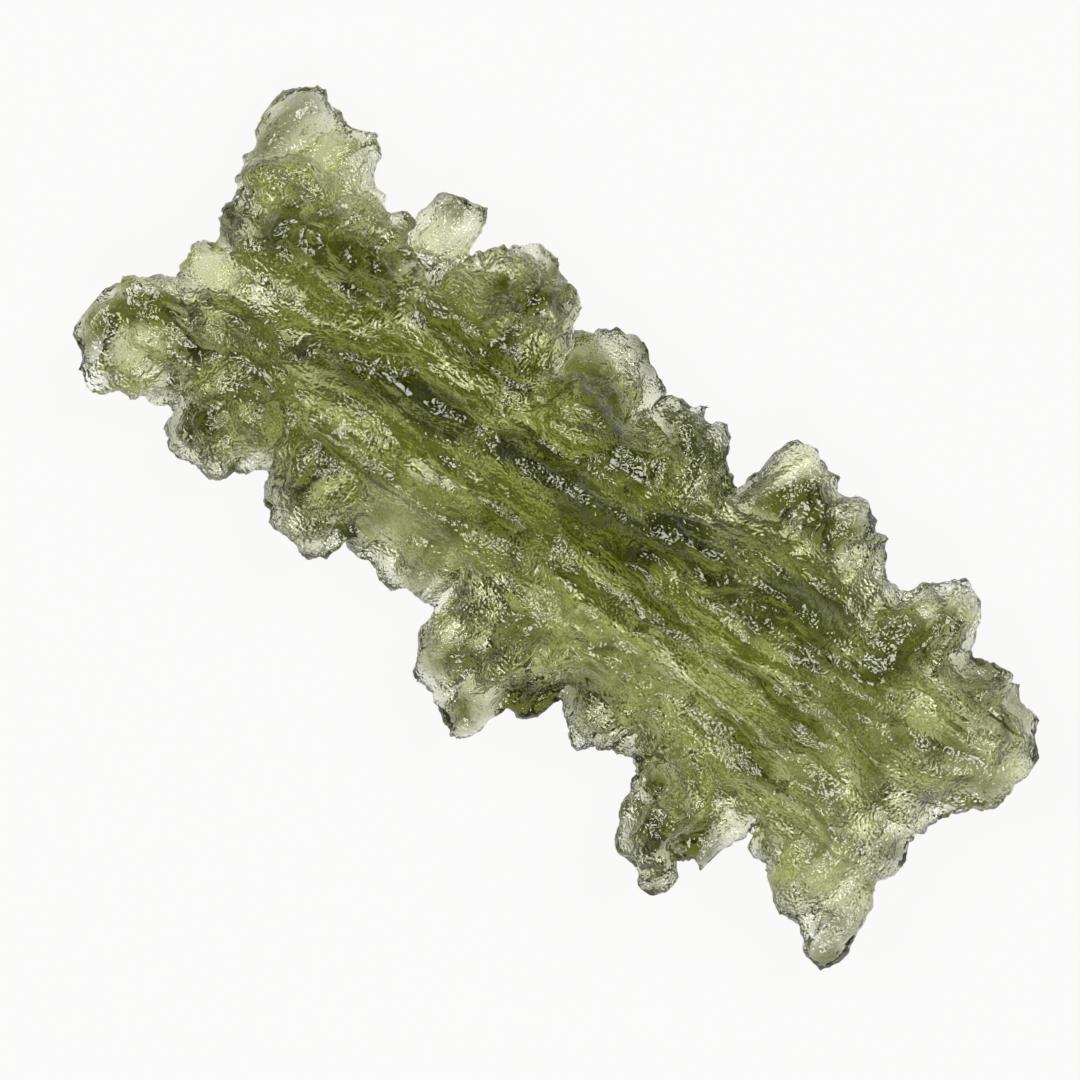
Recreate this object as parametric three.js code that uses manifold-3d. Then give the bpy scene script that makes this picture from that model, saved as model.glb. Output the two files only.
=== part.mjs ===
// Moldavite of the hedgehog form: one naturally etched piece of green impact glass, 40 mm long.
//
// The piece is a long ridged body with blades of glass around it. The blades lie in two decks, an
// upper one and a lower one, so that the lower blades show past the upper ones in plan. The stone
// lies on its lower deck. Units are millimetres, +Z is up and +X runs along the stone.
// The origin is on the surface that the stone lies on, below the middle of its bounding box.

import * as THREE from 'three';
import { LoftGeometry } from 'three/addons/geometries/LoftGeometry.js';
import { ImprovedNoise } from 'three/addons/math/ImprovedNoise.js';
import { mergeVertices } from 'three/addons/utils/BufferGeometryUtils.js';
import Module from 'manifold-3d';

// ---------------------------------------------------------------- driving dimensions

const GLASS = { color: 0x6f7a38, roughness: 0.25, metalness: 0 };

const REST_HEIGHT = 3.85; // from the plane the stone lies on to the middle of the body
const THINNEST_HALF = 0.28; // a blade's half thickness never falls below this
const WELD = 0.005; // grid that every vertex is set to, so that no face is thinner
const BLADE_RINGS_DEG = [-90, -60, -30, 0, 30, 60, 90]; // rings from underside to top

// The body, as stations along X: [x, low y, high y, middle z, half height].
const BODY_STATIONS = [
  [-17.2, -1.2, 2.4, 0.2, 0.5],
  [-16.4, -1.7, 3.3, 0.2, 1.1],
  [-14.5, -2.4, 3.9, 0.2, 1.7],
  [-12.0, -3.2, 4.3, 0.1, 2.1],
  [-8.0, -3.6, 4.5, 0.0, 2.4],
  [-4.0, -3.8, 4.7, 0.0, 2.5],
  [0.0, -3.9, 4.8, 0.0, 2.6],
  [4.0, -4.0, 4.9, 0.0, 2.7],
  [8.0, -4.1, 5.0, 0.0, 2.7],
  [12.0, -4.2, 5.0, 0.0, 2.3],
  [15.0, -3.6, 5.0, -0.1, 2.0],
  [17.2, -1.8, 4.7, -0.2, 1.6],
  [18.6, 0.4, 4.2, -0.2, 0.8],
];
const BODY_STEP = 0.9; // between one section of the body and the next
const BODY_SIDES = 40; // points around one section
const BODY_FULLNESS = 0.7; // 1 gives the body an elliptical section, less a squarer one

// Ridges and furrows that run along the body, each spread over a width. Path points are
// [x, y, height], where a height below 0 is a depth.
const UPPER_RELIEF = [
  // crest along the left half
  { spread: 0.9, path: [[-17.2, 3.2, 0], [-15.5, 3.4, 0.9], [-13.2, 3.7, 2.0], [-11.8, 3.7, 1.8],
    [-9.5, 3.8, 1.1], [-6.5, 3.8, 1.9], [-4.5, 3.8, 1.5], [-2.0, 4.2, 1.2], [0.0, 4.6, 0.8],
    [2.0, 4.6, 0]] },
  // highest ridge, which crosses slantwise from the low Y side on the left to the high Y side
  { spread: 1.0, path: [[-15.5, -1.1, 0], [-14.0, -1.0, 0.9], [-12.0, -0.6, 1.7], [-10.0, 0.2, 2.0],
    [-8.0, 0.6, 1.9], [-6.2, 0.9, 2.9], [-4.0, 1.0, 2.0], [-1.5, 1.4, 2.3], [1.2, 1.7, 2.7],
    [4.0, 2.2, 2.1], [7.0, 3.3, 1.1], [9.4, 4.0, 1.9], [12.0, 3.8, 0.9], [14.5, 3.6, 0.7],
    [18.0, 3.8, 0]] },
  // low swell below it on the right half
  { spread: 0.8, path: [[3.0, 0.9, 0], [5.0, 0.9, 1.1], [8.0, 1.1, 0.7], [12.0, 1.4, 0.5],
    [15.0, 1.8, 0.5], [17.5, 2.2, 0]] },
  // shoulder above the left lobes
  { spread: 0.8, path: [[-15.5, -2.2, 0], [-13.6, -2.5, 0.9], [-12.3, -2.6, 1.4], [-10.8, -2.8, 0.6],
    [-9.4, -3.3, 1.2], [-8.2, -3.6, 0]] },
  // thin sharp ridge along the low Y side
  { spread: 0.42, path: [[-9.0, -2.9, 0], [-6.0, -2.6, 0.8], [-3.0, -2.1, 0.9], [0.0, -1.5, 1.0],
    [3.0, -0.8, 1.0], [7.0, -0.2, 1.2], [11.0, -0.1, 1.1], [14.0, -0.3, 0.8], [16.5, -0.4, 0]] },
  // furrows
  { spread: 0.65, path: [[-17.4, 0.3, 0], [-15.5, 0.6, -1.4], [-12.0, 1.5, -1.4], [-9.0, 2.1, -1.3],
    [-5.0, 2.4, -1.2], [-2.0, 2.9, -0.9], [0.0, 3.2, 0]] },
  { spread: 0.55, path: [[-12.5, -1.6, 0], [-11.0, -1.7, -1.2], [-8.0, -1.7, -1.5], [-4.0, -1.3, -1.5],
    [-1.0, -0.8, -0.9], [1.5, -0.2, 0]] },
  { spread: 0.55, path: [[-1.5, -3.1, 0], [0.5, -2.5, -1.1], [3.0, -1.8, -1.5], [8.0, -1.1, -1.6],
    [12.0, -1.2, -1.3], [15.5, -1.2, -0.8], [17.5, -1.2, 0]] },
];
const LOWER_RELIEF = [
  { spread: 1.0, path: [[-16.0, 3.0, 0], [-13.0, 3.4, 1.7], [-10.0, 3.4, 1.0], [-6.5, 3.5, 1.6],
    [-3.0, 3.6, 1.0], [0.0, 4.0, 0]] },
  { spread: 1.0, path: [[-15.0, -0.8, 0], [-12.0, -0.4, 1.1], [-9.0, 0.5, 0.9], [-6.0, 0.9, 1.4],
    [-3.0, 1.1, 0.9], [1.0, 1.8, 1.4], [5.0, 2.5, 0.5], [9.4, 3.5, 1.3], [13.0, 3.4, 0.5],
    [17.0, 3.4, 0]] },
  { spread: 0.8, path: [[3.0, -2.8, 0], [6.0, -3.0, 0.3], [10.0, -3.0, 0.5], [13.0, -2.6, 0.3],
    [16.0, -2.0, 0]] },
  { spread: 0.6, path: [[-16.0, 0.8, 0], [-12.0, 1.6, -1.2], [-8.0, 2.2, -1.1], [-4.0, 2.5, -0.9],
    [0.0, 3.0, 0]] },
  { spread: 0.6, path: [[-12.0, -1.7, 0], [-8.0, -1.8, -1.2], [-4.0, -1.5, -1.3], [0.0, -1.0, -0.8],
    [6.0, -1.0, -1.2], [12.0, -1.0, -1.1], [16.0, -0.4, 0]] },
];

// Blades. rim is the plan outline and heart the point that the blade swells from. z is the height
// of its middle plane there and half its half thickness. lean is how much that plane climbs along
// each mm of X and of Y, and swell how much the half thickness grows, so that the blade is thick
// at its root in the body and thin at its tip. sharpness 1 gives it an elliptical section, less a
// fuller one with a blunt edge, and more a sharper edge.
const BLADES = {
  // +Y side, lower deck
  pale_fan: {
    heart: [-15.6, 4.2], z: -1.4, half: 1.35, lean: [-0.03, -0.12], swell: [0.08, -0.14], sharpness: 1.0,
    rim: [[-12.6, 5.0], [-13.3, 5.7], [-14.0, 6.5], [-14.6, 7.3], [-15.1, 7.8], [-15.8, 7.85],
      [-16.4, 7.65], [-16.9, 7.5], [-17.4, 7.7], [-18.0, 7.6], [-18.5, 7.2], [-18.85, 6.6], [-18.75, 6.0],
      [-18.5, 5.3], [-18.4, 4.5], [-18.3, 3.7], [-18.0, 2.9], [-17.0, 2.0], [-15.5, 1.8], [-14.0, 2.2],
      [-12.8, 3.4]],
  },
  tongue: {
    heart: [-10.3, 5.2], z: -1.2, half: 1.05, lean: [0.0, -0.08], swell: [0.0, -0.1], sharpness: 1.0,
    rim: [[-8.9, 6.2], [-9.35, 7.0], [-9.8, 7.7], [-10.2, 8.0], [-10.7, 8.05], [-11.1, 7.7],
      [-11.35, 7.0], [-11.35, 6.2], [-11.3, 5.4], [-11.2, 4.4], [-10.4, 3.6], [-9.3, 3.7], [-8.8, 4.9]],
  },
  back_plate: {
    heart: [-6.1, 5.0], z: -1.2, half: 1.1, lean: [0.0, -0.06], swell: [0.0, -0.08], sharpness: 0.9,
    rim: [[-3.8, 5.4], [-4.1, 6.6], [-4.5, 7.3], [-5.0, 7.9], [-5.5, 8.1], [-6.3, 8.2], [-7.1, 8.15],
      [-7.7, 7.6], [-8.2, 6.9], [-8.5, 5.8], [-8.2, 4.4], [-7.0, 3.4], [-5.2, 3.4], [-4.0, 4.3]],
  },
  flag: {
    heart: [-1.9, 5.0], z: -1.4, half: 1.15, lean: [0.05, -0.08], swell: [0.0, -0.1], sharpness: 1.0,
    rim: [[0.4, 5.9], [-0.3, 6.8], [-0.6, 7.3], [-0.95, 7.5], [-1.05, 8.05], [-1.5, 8.2], [-2.2, 8.35],
      [-2.45, 7.9], [-2.8, 7.4], [-3.2, 7.0], [-3.7, 6.8], [-4.15, 6.4], [-4.2, 5.6], [-3.8, 4.4],
      [-2.8, 3.6], [-1.2, 3.5], [0.2, 4.2]],
  },
  // +Y side, upper deck
  left_crest: {
    heart: [-15.0, 2.4], z: 0.5, half: 1.9, lean: [0.05, 0.08], swell: [0.1, -0.1], sharpness: 0.8,
    rim: [[-13.2, 3.2], [-13.7, 4.5], [-14.3, 4.65], [-15.1, 4.95], [-15.8, 5.15], [-16.6, 4.95],
      [-17.3, 4.5], [-17.75, 3.9], [-17.9, 3.2], [-17.6, 2.3], [-17.6, 1.4], [-16.5, 0.2], [-14.3, 0.2],
      [-13.2, 1.4]],
  },
  toothed_crest: {
    heart: [-12.0, 2.9], z: 0.7, half: 2.7, lean: [0, 0.1], swell: [0.0, -0.35], sharpness: 0.75,
    rim: [[-9.6, 4.2], [-10.5, 4.7], [-11.1, 5.1], [-11.6, 5.2], [-12.0, 5.9], [-12.25, 5.2],
      [-12.8, 5.1], [-13.3, 5.3], [-13.8, 4.9], [-14.2, 4.2], [-14.2, 2.8], [-13.05, 0.8], [-10.75, 0.8],
      [-9.6, 2.8]],
  },
  dark_shield: {
    heart: [-6.7, 3.9], z: 0.3, half: 2.7, lean: [0, 0.08], swell: [0.0, -0.12], sharpness: 0.7,
    rim: [[-4.0, 5.2], [-4.2, 6.2], [-4.7, 7.0], [-5.3, 7.6], [-6.0, 7.75], [-6.9, 7.5], [-7.6, 7.35],
      [-8.2, 7.0], [-8.7, 6.75], [-9.1, 6.2], [-9.25, 5.5], [-9.0, 4.7], [-9.0, 3.2], [-7.75, 1.4],
      [-5.25, 1.4], [-4.0, 3.2]],
  },
  dark_arch: {
    heart: [-1.8, 3.6], z: 0.6, half: 3.2, lean: [0, 0.08], swell: [0.0, -0.25], sharpness: 0.7,
    rim: [[-0.1, 4.7], [-0.4, 5.6], [-1.0, 6.1], [-1.6, 6.4], [-2.2, 6.3], [-2.8, 5.9], [-3.15, 5.3],
      [-3.4, 4.4], [-3.4, 3.0], [-2.58, 1.2], [-0.92, 1.2], [-0.1, 3.0]],
  },
  horned_blade: {
    heart: [2.3, 3.8], z: 0.3, half: 2.6, lean: [0.0, 0.08], swell: [0.0, -0.25], sharpness: 0.75,
    rim: [[4.95, 4.7], [4.65, 5.5], [4.2, 6.0], [3.8, 6.4], [3.3, 6.7], [2.9, 7.05], [2.5, 6.95],
      [2.25, 6.6], [2.05, 6.7], [1.95, 7.3], [1.8, 7.8], [1.5, 7.3], [1.1, 7.0], [0.7, 6.9], [0.4, 6.3],
      [0.0, 5.7], [-0.4, 4.8], [-0.4, 3.2], [0.94, 1.4], [3.61, 1.4], [4.95, 3.2]],
  },
  crown: {
    heart: [8.2, 4.0], z: -0.1, half: 1.95, lean: [0.0, 0.03], swell: [0.0, -0.18], sharpness: 0.8,
    rim: [[12.1, 5.7], [11.5, 6.3], [11.25, 6.9], [11.0, 7.25], [10.8, 7.5], [10.75, 8.15], [10.3, 8.1],
      [9.9, 7.75], [9.5, 7.75], [9.25, 8.1], [9.0, 8.45], [8.6, 8.1], [8.1, 7.8], [7.6, 7.7], [7.1, 7.95],
      [6.7, 8.45], [6.1, 8.95], [5.7, 8.5], [5.4, 7.9], [5.15, 7.2], [5.0, 6.4], [4.85, 5.5], [4.85, 3.4],
      [6.66, 1.4], [10.29, 1.4], [12.1, 3.4]],
  },
  knee: {
    heart: [13.9, 4.0], z: 0.0, half: 2.3, lean: [0.0, 0.08], swell: [0.0, -0.25], sharpness: 0.8,
    rim: [[16.0, 5.4], [15.65, 6.1], [15.3, 6.8], [15.1, 7.4], [14.8, 7.95], [14.3, 8.05], [13.8, 7.9],
      [13.5, 7.3], [13.1, 6.8], [12.7, 6.5], [12.2, 6.2], [11.8, 5.5], [11.8, 3.6], [12.85, 1.6],
      [14.95, 1.6], [16.0, 3.6]],
  },
  round_end: {
    heart: [16.0, 2.8], z: 0.0, half: 2.2, lean: [-0.03, 0.0], swell: [-0.14, 0.0], sharpness: 0.7,
    rim: [[18.1, 0.4], [18.7, 0.75], [19.35, 0.9], [19.5, 1.6], [19.95, 2.1], [20.3, 2.7], [20.1, 3.1],
      [20.35, 3.8], [20.05, 4.5], [19.5, 4.9], [19.1, 5.4], [18.4, 5.8], [17.7, 6.0], [17.2, 6.45],
      [16.7, 6.25], [16.2, 6.0], [15.3, 5.6], [14.2, 5.0], [12.6, 3.9], [12.4, 2.0], [14.0, 0.6],
      [16.0, 0.4], [17.3, 0.1]],
  },
  shard: {
    heart: [17.0, 0.1], z: -0.8, half: 0.6, lean: [0.0, 0.0], swell: [-0.15, 0.0], sharpness: 1.0,
    rim: [[17.9, 0.4], [18.15, 0.1], [18.35, -0.25], [17.9, -0.4], [17.3, -0.7], [16.2, -0.6],
      [16.0, 0.4], [17.0, 0.7]],
  },
  // -Y side
  tail: {
    heart: [15.0, -2.2], z: -0.1, half: 1.75, lean: [-0.02, 0.04], swell: [-0.1, 0.1], sharpness: 0.9,
    rim: [[19.15, -7.0], [18.75, -7.35], [18.1, -7.4], [17.3, -6.95], [16.5, -6.5], [15.6, -6.2],
      [15.1, -5.8], [14.7, -5.3], [14.1, -5.2], [13.5, -4.9], [12.5, -4.0], [11.8, -2.2], [12.6, -0.4],
      [14.6, 0.4], [16.6, 0.0], [17.9, -0.8], [18.3, -1.4], [18.3, -2.0], [18.9, -2.6], [18.5, -3.1],
      [18.45, -3.9], [18.8, -4.7], [18.95, -5.6]],
  },
  thorn: {
    heart: [12.0, -3.4], z: -0.6, half: 1.3, lean: [0.0, 0.05], swell: [0.0, 0.15], sharpness: 1.0,
    rim: [[13.1, -4.4], [12.85, -5.4], [12.75, -6.3], [12.85, -7.45], [12.3, -7.15], [11.7, -7.0],
      [11.3, -6.0], [11.0, -4.4], [11.0, -3.2], [11.53, -1.6], [12.57, -1.6], [13.1, -3.2]],
  },
  finger: {
    heart: [9.6, -2.8], z: 0.0, half: 1.95, lean: [0.02, -0.1], swell: [0, 0.08], sharpness: 0.8,
    rim: [[11.85, -5.8], [11.9, -7.2], [12.0, -7.9], [12.2, -8.6], [11.8, -9.0], [11.3, -9.3],
      [10.6, -9.1], [10.0, -8.6], [9.4, -7.9], [9.0, -7.1], [8.7, -6.3], [8.15, -5.6], [7.6, -4.4],
      [7.6, -2.6], [8.66, -0.4], [10.8, -0.4], [11.85, -2.6]],
  },
  web: {
    heart: [7.0, -3.2], z: -0.4, half: 1.8, lean: [0.0, 0.05], swell: [0, 0.1], sharpness: 0.8,
    rim: [[8.5, -5.0], [7.6, -5.35], [7.1, -5.4], [6.6, -5.75], [6.1, -5.65], [5.8, -4.6], [5.8, -3.0],
      [6.47, -1.4], [7.83, -1.4], [8.5, -3.0]],
  },
  fang: {
    heart: [5.4, -3.4], z: -0.7, half: 1.8, lean: [0.0, 0.08], swell: [0, 0.1], sharpness: 0.8,
    rim: [[6.25, -5.5], [6.1, -6.3], [6.0, -6.7], [5.7, -6.4], [5.4, -5.9], [5.0, -5.4], [4.5, -5.0],
      [4.5, -3.2], [4.94, -1.8], [5.81, -1.8], [6.25, -3.2]],
  },
  nub: {
    heart: [3.3, -3.4], z: -0.2, half: 2.1, lean: [0.0, 0.04], swell: [0, 0.1], sharpness: 0.7,
    rim: [[4.3, -4.8], [4.0, -5.8], [3.85, -6.4], [3.55, -6.85], [3.1, -6.7], [2.75, -6.3], [2.2, -5.4],
      [2.2, -3.2], [2.73, -1.4], [3.77, -1.4], [4.3, -3.2]],
  },
  broad_lobe: {
    heart: [0.4, -2.6], z: 0.0, half: 2.7, lean: [0.0, 0.06], swell: [0, 0.08], sharpness: 0.8,
    rim: [[2.85, -5.2], [2.8, -6.2], [2.5, -6.9], [2.3, -7.6], [2.45, -8.3], [1.95, -8.95], [1.5, -8.6],
      [1.0, -8.15], [0.4, -7.95], [-0.2, -7.85], [-0.75, -7.7], [-1.0, -7.1], [-1.4, -6.5], [-1.6, -5.7],
      [-1.7, -4.6], [-1.7, -2.6], [-0.56, -0.4], [1.7, -0.4], [2.85, -2.6]],
  },
  skirt: {
    heart: [-3.8, -3.2], z: -0.8, half: 1.2, lean: [0.0, 0.05], swell: [0, 0.15], sharpness: 0.9,
    rim: [[-1.3, -5.0], [-2.2, -5.3], [-2.8, -5.35], [-3.2, -5.6], [-3.65, -6.05], [-3.95, -5.8],
      [-4.2, -5.5], [-4.9, -5.4], [-5.5, -5.45], [-6.1, -5.6], [-6.5, -5.0], [-6.5, -3.0], [-5.2, -1.4],
      [-2.6, -1.4], [-1.3, -3.0]],
  },
  third_lobe: {
    heart: [-8.0, -2.4], z: 0.0, half: 2.35, lean: [0, 0.02], swell: [0, 0.06], sharpness: 0.75,
    rim: [[-5.6, -4.3], [-5.9, -5.4], [-6.3, -6.2], [-6.7, -6.7], [-7.2, -6.95], [-8.0, -7.0],
      [-8.7, -6.85], [-9.1, -6.3], [-9.6, -5.75], [-10.0, -5.2], [-10.3, -4.2], [-10.3, -2.4],
      [-9.1, -0.2], [-6.8, -0.2], [-5.6, -2.4]],
  },
  near_web: {
    heart: [-10.5, -3.4], z: -0.8, half: 1.9, lean: [0.0, 0.05], swell: [0, 0.1], sharpness: 0.9,
    rim: [[-9.4, -5.0], [-10.3, -5.35], [-11.1, -5.85], [-11.7, -4.9], [-11.7, -3.0], [-11.12, -1.6],
      [-9.97, -1.6], [-9.4, -3.0]],
  },
  second_lobe: {
    heart: [-12.3, -2.4], z: 0.0, half: 2.8, lean: [0, 0.02], swell: [0, 0.04], sharpness: 0.7,
    rim: [[-10.8, -5.2], [-11.1, -6.0], [-11.5, -6.45], [-12.2, -6.6], [-13.2, -6.85], [-13.9, -6.55],
      [-14.4, -6.0], [-14.65, -5.2], [-14.6, -4.5], [-14.6, -2.4], [-13.65, -0.4], [-11.75, -0.4],
      [-10.8, -2.4]],
  },
  far_web: {
    heart: [-15.0, -3.2], z: -0.8, half: 1.0, lean: [0.0, 0.05], swell: [0.0, 0.2], sharpness: 1.0,
    rim: [[-14.0, -4.8], [-14.9, -5.3], [-15.6, -5.9], [-16.1, -4.9], [-16.1, -2.8], [-15.58, -1.6],
      [-14.53, -1.6], [-14.0, -2.8]],
  },
  end_lobe: {
    heart: [-16.2, -2.8], z: 0.3, half: 1.75, lean: [-0.02, -0.04], swell: [-0.02, 0.42], sharpness: 0.85,
    rim: [[-14.8, -4.6], [-15.3, -5.1], [-15.8, -5.95], [-16.4, -6.4], [-16.9, -6.9], [-17.1, -7.3],
      [-17.6, -7.4], [-18.2, -7.1], [-18.8, -6.6], [-19.25, -5.9], [-19.5, -5.0], [-19.4, -3.9],
      [-19.0, -3.1], [-18.6, -2.3], [-18.0, -2.0], [-17.0, -1.6], [-15.2, -0.4], [-13.4, -0.6],
      [-12.6, -2.0], [-13.2, -3.6]],
  },
  left_edge: {
    heart: [-14.8, 0.3], z: -0.1, half: 1.9, lean: [0.0, 0.0], swell: [0.3, 0.0], sharpness: 1.0,
    rim: [[-15.6, 2.8], [-17.1, 2.3], [-17.45, 1.5], [-17.85, 1.1], [-17.4, 0.7], [-17.25, 0.2],
      [-17.75, -0.35], [-17.45, -0.75], [-17.3, -1.3], [-16.4, -2.0], [-14.0, -1.7], [-12.4, 0.3],
      [-13.6, 2.2]],
  },
  // underside, the lobes that the stone lies on among them
  left_keel: {
    heart: [-11.8, 2.9], z: -2.0, half: 1.85, lean: [0.0, 0.0], swell: [0.0, 0.0], sharpness: 1.0,
    rim: [[-8.6, 2.9], [-9.6, 3.8], [-11.3, 4.3], [-13.2, 4.2], [-14.4, 3.4], [-14.2, 2.5], [-12.7, 1.8],
      [-10.6, 1.9], [-9.2, 2.3]],
  },
  left_hook: {
    heart: [-12.6, -2.1], z: -2.1, half: 1.7, lean: [0.0, 0.0], swell: [0.0, 0.0], sharpness: 1.0,
    rim: [[-10.2, -1.5], [-11.2, -0.7], [-12.8, -0.5], [-14.6, -0.9], [-15.6, -1.8], [-14.9, -2.9],
      [-13.3, -3.3], [-11.5, -2.9]],
  },
  right_hook: {
    heart: [10.4, -5.3], z: -1.9, half: 1.9, lean: [0.0, 0.0], swell: [0.0, 0.0], sharpness: 1.0,
    rim: [[12.5, -5.2], [11.9, -4.4], [10.5, -4], [9.1, -4.1], [8.1, -4.9], [8.5, -5.8], [9.8, -6.5],
      [11.1, -6.6], [12.1, -6.1]],
  },
  right_keel: {
    heart: [11.4, 3.2], z: -2.1, half: 1.7, lean: [0.0, 0.0], swell: [0.0, 0.0], sharpness: 1.0,
    rim: [[15.0, 3.2], [13.8, 4.3], [11.8, 4.9], [9.6, 4.6], [7.8, 3.6], [8.4, 2.4], [10.4, 1.7],
      [12.8, 1.9], [14.4, 2.4]],
  },
};

// Etching of the surface: each layer moves it in or out by up to reach, in lumps of about size.
const ETCHING = [
  { size: 3.2, reach: 0.45 },
  { size: 1.3, reach: 0.3 },
];
const FLOW_STRETCH = 2.2; // the lumps are this much longer along the stone than across it

// ---------------------------------------------------------------- small helpers

const noise = new ImprovedNoise();

/** The values of a table's rows at x, where each row starts with its own x. */
function rowAt(table, x) {
  const after = Math.max(1, table.findIndex((row) => row[0] >= x));
  const [low, high] = [table[after - 1], table[after]];
  const share = THREE.MathUtils.clamp((x - low[0]) / (high[0] - low[0]), 0, 1);
  return low.map((value, i) => THREE.MathUtils.lerp(value, high[i], share));
}

/** How far the etching moves a point, in mm. seed shifts the pattern from one blade to the next. */
function etchedDepth(point, seed) {
  return ETCHING.reduce((sum, { size, reach }) => sum + reach
    * noise.noise(point.x / (size * FLOW_STRETCH) + seed, point.y / size, point.z / size + seed), 0);
}

// ---------------------------------------------------------------- the body

/** Height of the ridges and furrows of one side of the body over the plan point (x, y). */
function reliefAt(relief, x, y) {
  return relief.reduce((sum, { spread, path }) => {
    const [, pathY, height] = rowAt(path, x);
    return sum + height * Math.exp(-(((y - pathY) / spread) ** 2));
  }, 0);
}

/** The section of the body at x, anticlockwise as seen from +X. */
function bodySection(x) {
  const [, lowY, highY, middleZ, halfHeight] = rowAt(BODY_STATIONS, x);
  const [middleY, halfWidth] = [(lowY + highY) / 2, (highY - lowY) / 2];
  return Array.from({ length: BODY_SIDES }, (_, i) => {
    const turn = (2 * Math.PI * i) / BODY_SIDES;
    const [across, up] = [Math.cos(turn), Math.sin(turn)];
    const y = middleY + halfWidth * across;
    const relief = reliefAt(up > 0 ? UPPER_RELIEF : LOWER_RELIEF, x, y) * Math.abs(up);
    const point = new THREE.Vector3(x, y, 0);
    point.z = middleZ + Math.sign(up) * (halfHeight * Math.abs(up) ** BODY_FULLNESS + relief);
    const etched = 1 + etchedDepth(point, 0) / Math.max(halfHeight, 1);
    return new THREE.Vector3(x, middleY + (y - middleY) * etched, middleZ + (point.z - middleZ) * etched);
  });
}

function bodyGeometry() {
  const [first, last] = [BODY_STATIONS[0][0], BODY_STATIONS.at(-1)[0]];
  const steps = Math.round((last - first) / BODY_STEP);
  const sections = Array.from({ length: steps + 1 }, (_, i) =>
    bodySection(first + ((last - first) * i) / steps));
  return new LoftGeometry(sections, { capStart: true, capEnd: true });
}

// ---------------------------------------------------------------- the blades

/** One blade: its rim, swelled from the heart into a lens, with an etched surface. */
function bladeGeometry({ heart, z, half, lean, swell, sharpness, rim }, seed) {
  const isAnticlockwise = THREE.ShapeUtils.area(rim.map(([x, y]) => new THREE.Vector2(x, y))) > 0;
  const outline = isAnticlockwise ? rim : rim.toReversed();
  const rings = BLADE_RINGS_DEG.map((degrees) => {
    const latitude = THREE.MathUtils.degToRad(degrees);
    const reach = Math.max(Math.cos(latitude), 0) ** sharpness;
    const rise = Math.sign(latitude) * Math.abs(Math.sin(latitude)) ** sharpness;
    return outline.map(([rimX, rimY]) => {
      const [alongX, alongY] = [(rimX - heart[0]) * reach, (rimY - heart[1]) * reach];
      const point = new THREE.Vector3(heart[0] + alongX, heart[1] + alongY, z);
      const halfHere = Math.max(half + alongX * swell[0] + alongY * swell[1], THINNEST_HALF);
      point.z += alongX * lean[0] + alongY * lean[1] + rise * halfHere;
      point.z += rise * etchedDepth(point, seed);
      return point;
    });
  });
  return new LoftGeometry(rings);
}

// ---------------------------------------------------------------- joining it into one stone

const wasm = await Module();
wasm.setup();

/**
 * Corners of the faces that are left once vertices have been merged. A face that has shrunk to a
 * line goes, and so does a pair of faces that has folded flat onto itself.
 */
function soundFaces(corners) {
  const faces = new Map();
  for (let i = 0; i < corners.length; i += 3) {
    const face = Array.from(corners.slice(i, i + 3));
    const key = face.toSorted((a, b) => a - b).join();
    if (new Set(face).size < 3) continue;
    if (faces.has(key)) faces.delete(key);
    else faces.set(key, face);
  }
  return [...faces.values()].flat();
}

/** The geometry's faces by position alone, with every vertex set to a grid of WELD. */
function weldedGeometry(geometry) {
  const bare = new THREE.BufferGeometry();
  const positions = geometry.getAttribute('position').array;
  const rounded = positions.map((v) => Math.round(v / WELD) * WELD);
  bare.setAttribute('position', new THREE.BufferAttribute(rounded, 3));
  bare.setIndex(geometry.getIndex());
  const merged = mergeVertices(bare, WELD / 10);
  merged.setIndex(soundFaces(merged.getIndex().array));
  return merged;
}

/** The closed solid that a geometry bounds. */
function solidOf(geometry) {
  const welded = weldedGeometry(geometry);
  return new wasm.Manifold(new wasm.Mesh({
    numProp: 3,
    vertProperties: new Float32Array(welded.getAttribute('position').array),
    triVerts: new Uint32Array(welded.getIndex().array),
  }));
}

/** The faces of a solid as a geometry. */
function geometryOf(solid) {
  const mesh = solid.getMesh();
  const geometry = new THREE.BufferGeometry();
  geometry.setAttribute('position', new THREE.BufferAttribute(mesh.vertProperties.slice(), mesh.numProp));
  geometry.setIndex(new THREE.BufferAttribute(mesh.triVerts.slice(), 1));
  return weldedGeometry(geometry);
}

/** Everything below the plane that the stone lies on, which wears its lowest lobes flat. */
function groundSolid() {
  const [length, width, depth] = [60, 40, 10];
  const ground = new THREE.BoxGeometry(length, width, depth);
  ground.translate(0, 0, -REST_HEIGHT - depth / 2);
  return solidOf(ground);
}

/** The whole stone, its origin on the plane that it lies on and below the middle of its box. */
function stoneGeometry() {
  const blades = Object.values(BLADES).map((blade, i) => solidOf(bladeGeometry(blade, 10 + i * 3.7)));
  const stone = blades.reduce((joined, blade) => joined.add(blade), solidOf(bodyGeometry()));
  const geometry = geometryOf(stone.subtract(groundSolid()));
  geometry.computeBoundingBox();
  const middle = geometry.boundingBox.getCenter(new THREE.Vector3());
  geometry.translate(-middle.x, -middle.y, -geometry.boundingBox.min.z);
  const flatShaded = geometry.toNonIndexed();
  flatShaded.computeVertexNormals();
  return flatShaded;
}

const moldavite = new THREE.Mesh(stoneGeometry(), new THREE.MeshStandardMaterial(GLASS));
moldavite.name = 'moldavite';

const stone = new THREE.Group();
stone.add(moldavite);

export default stone;
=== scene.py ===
"""One long piece of natural green glass, deeply etched and toothed, lying on a pale table."""

import logging
import math
from collections.abc import Callable
from dataclasses import dataclass, field, replace
from enum import Enum

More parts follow.
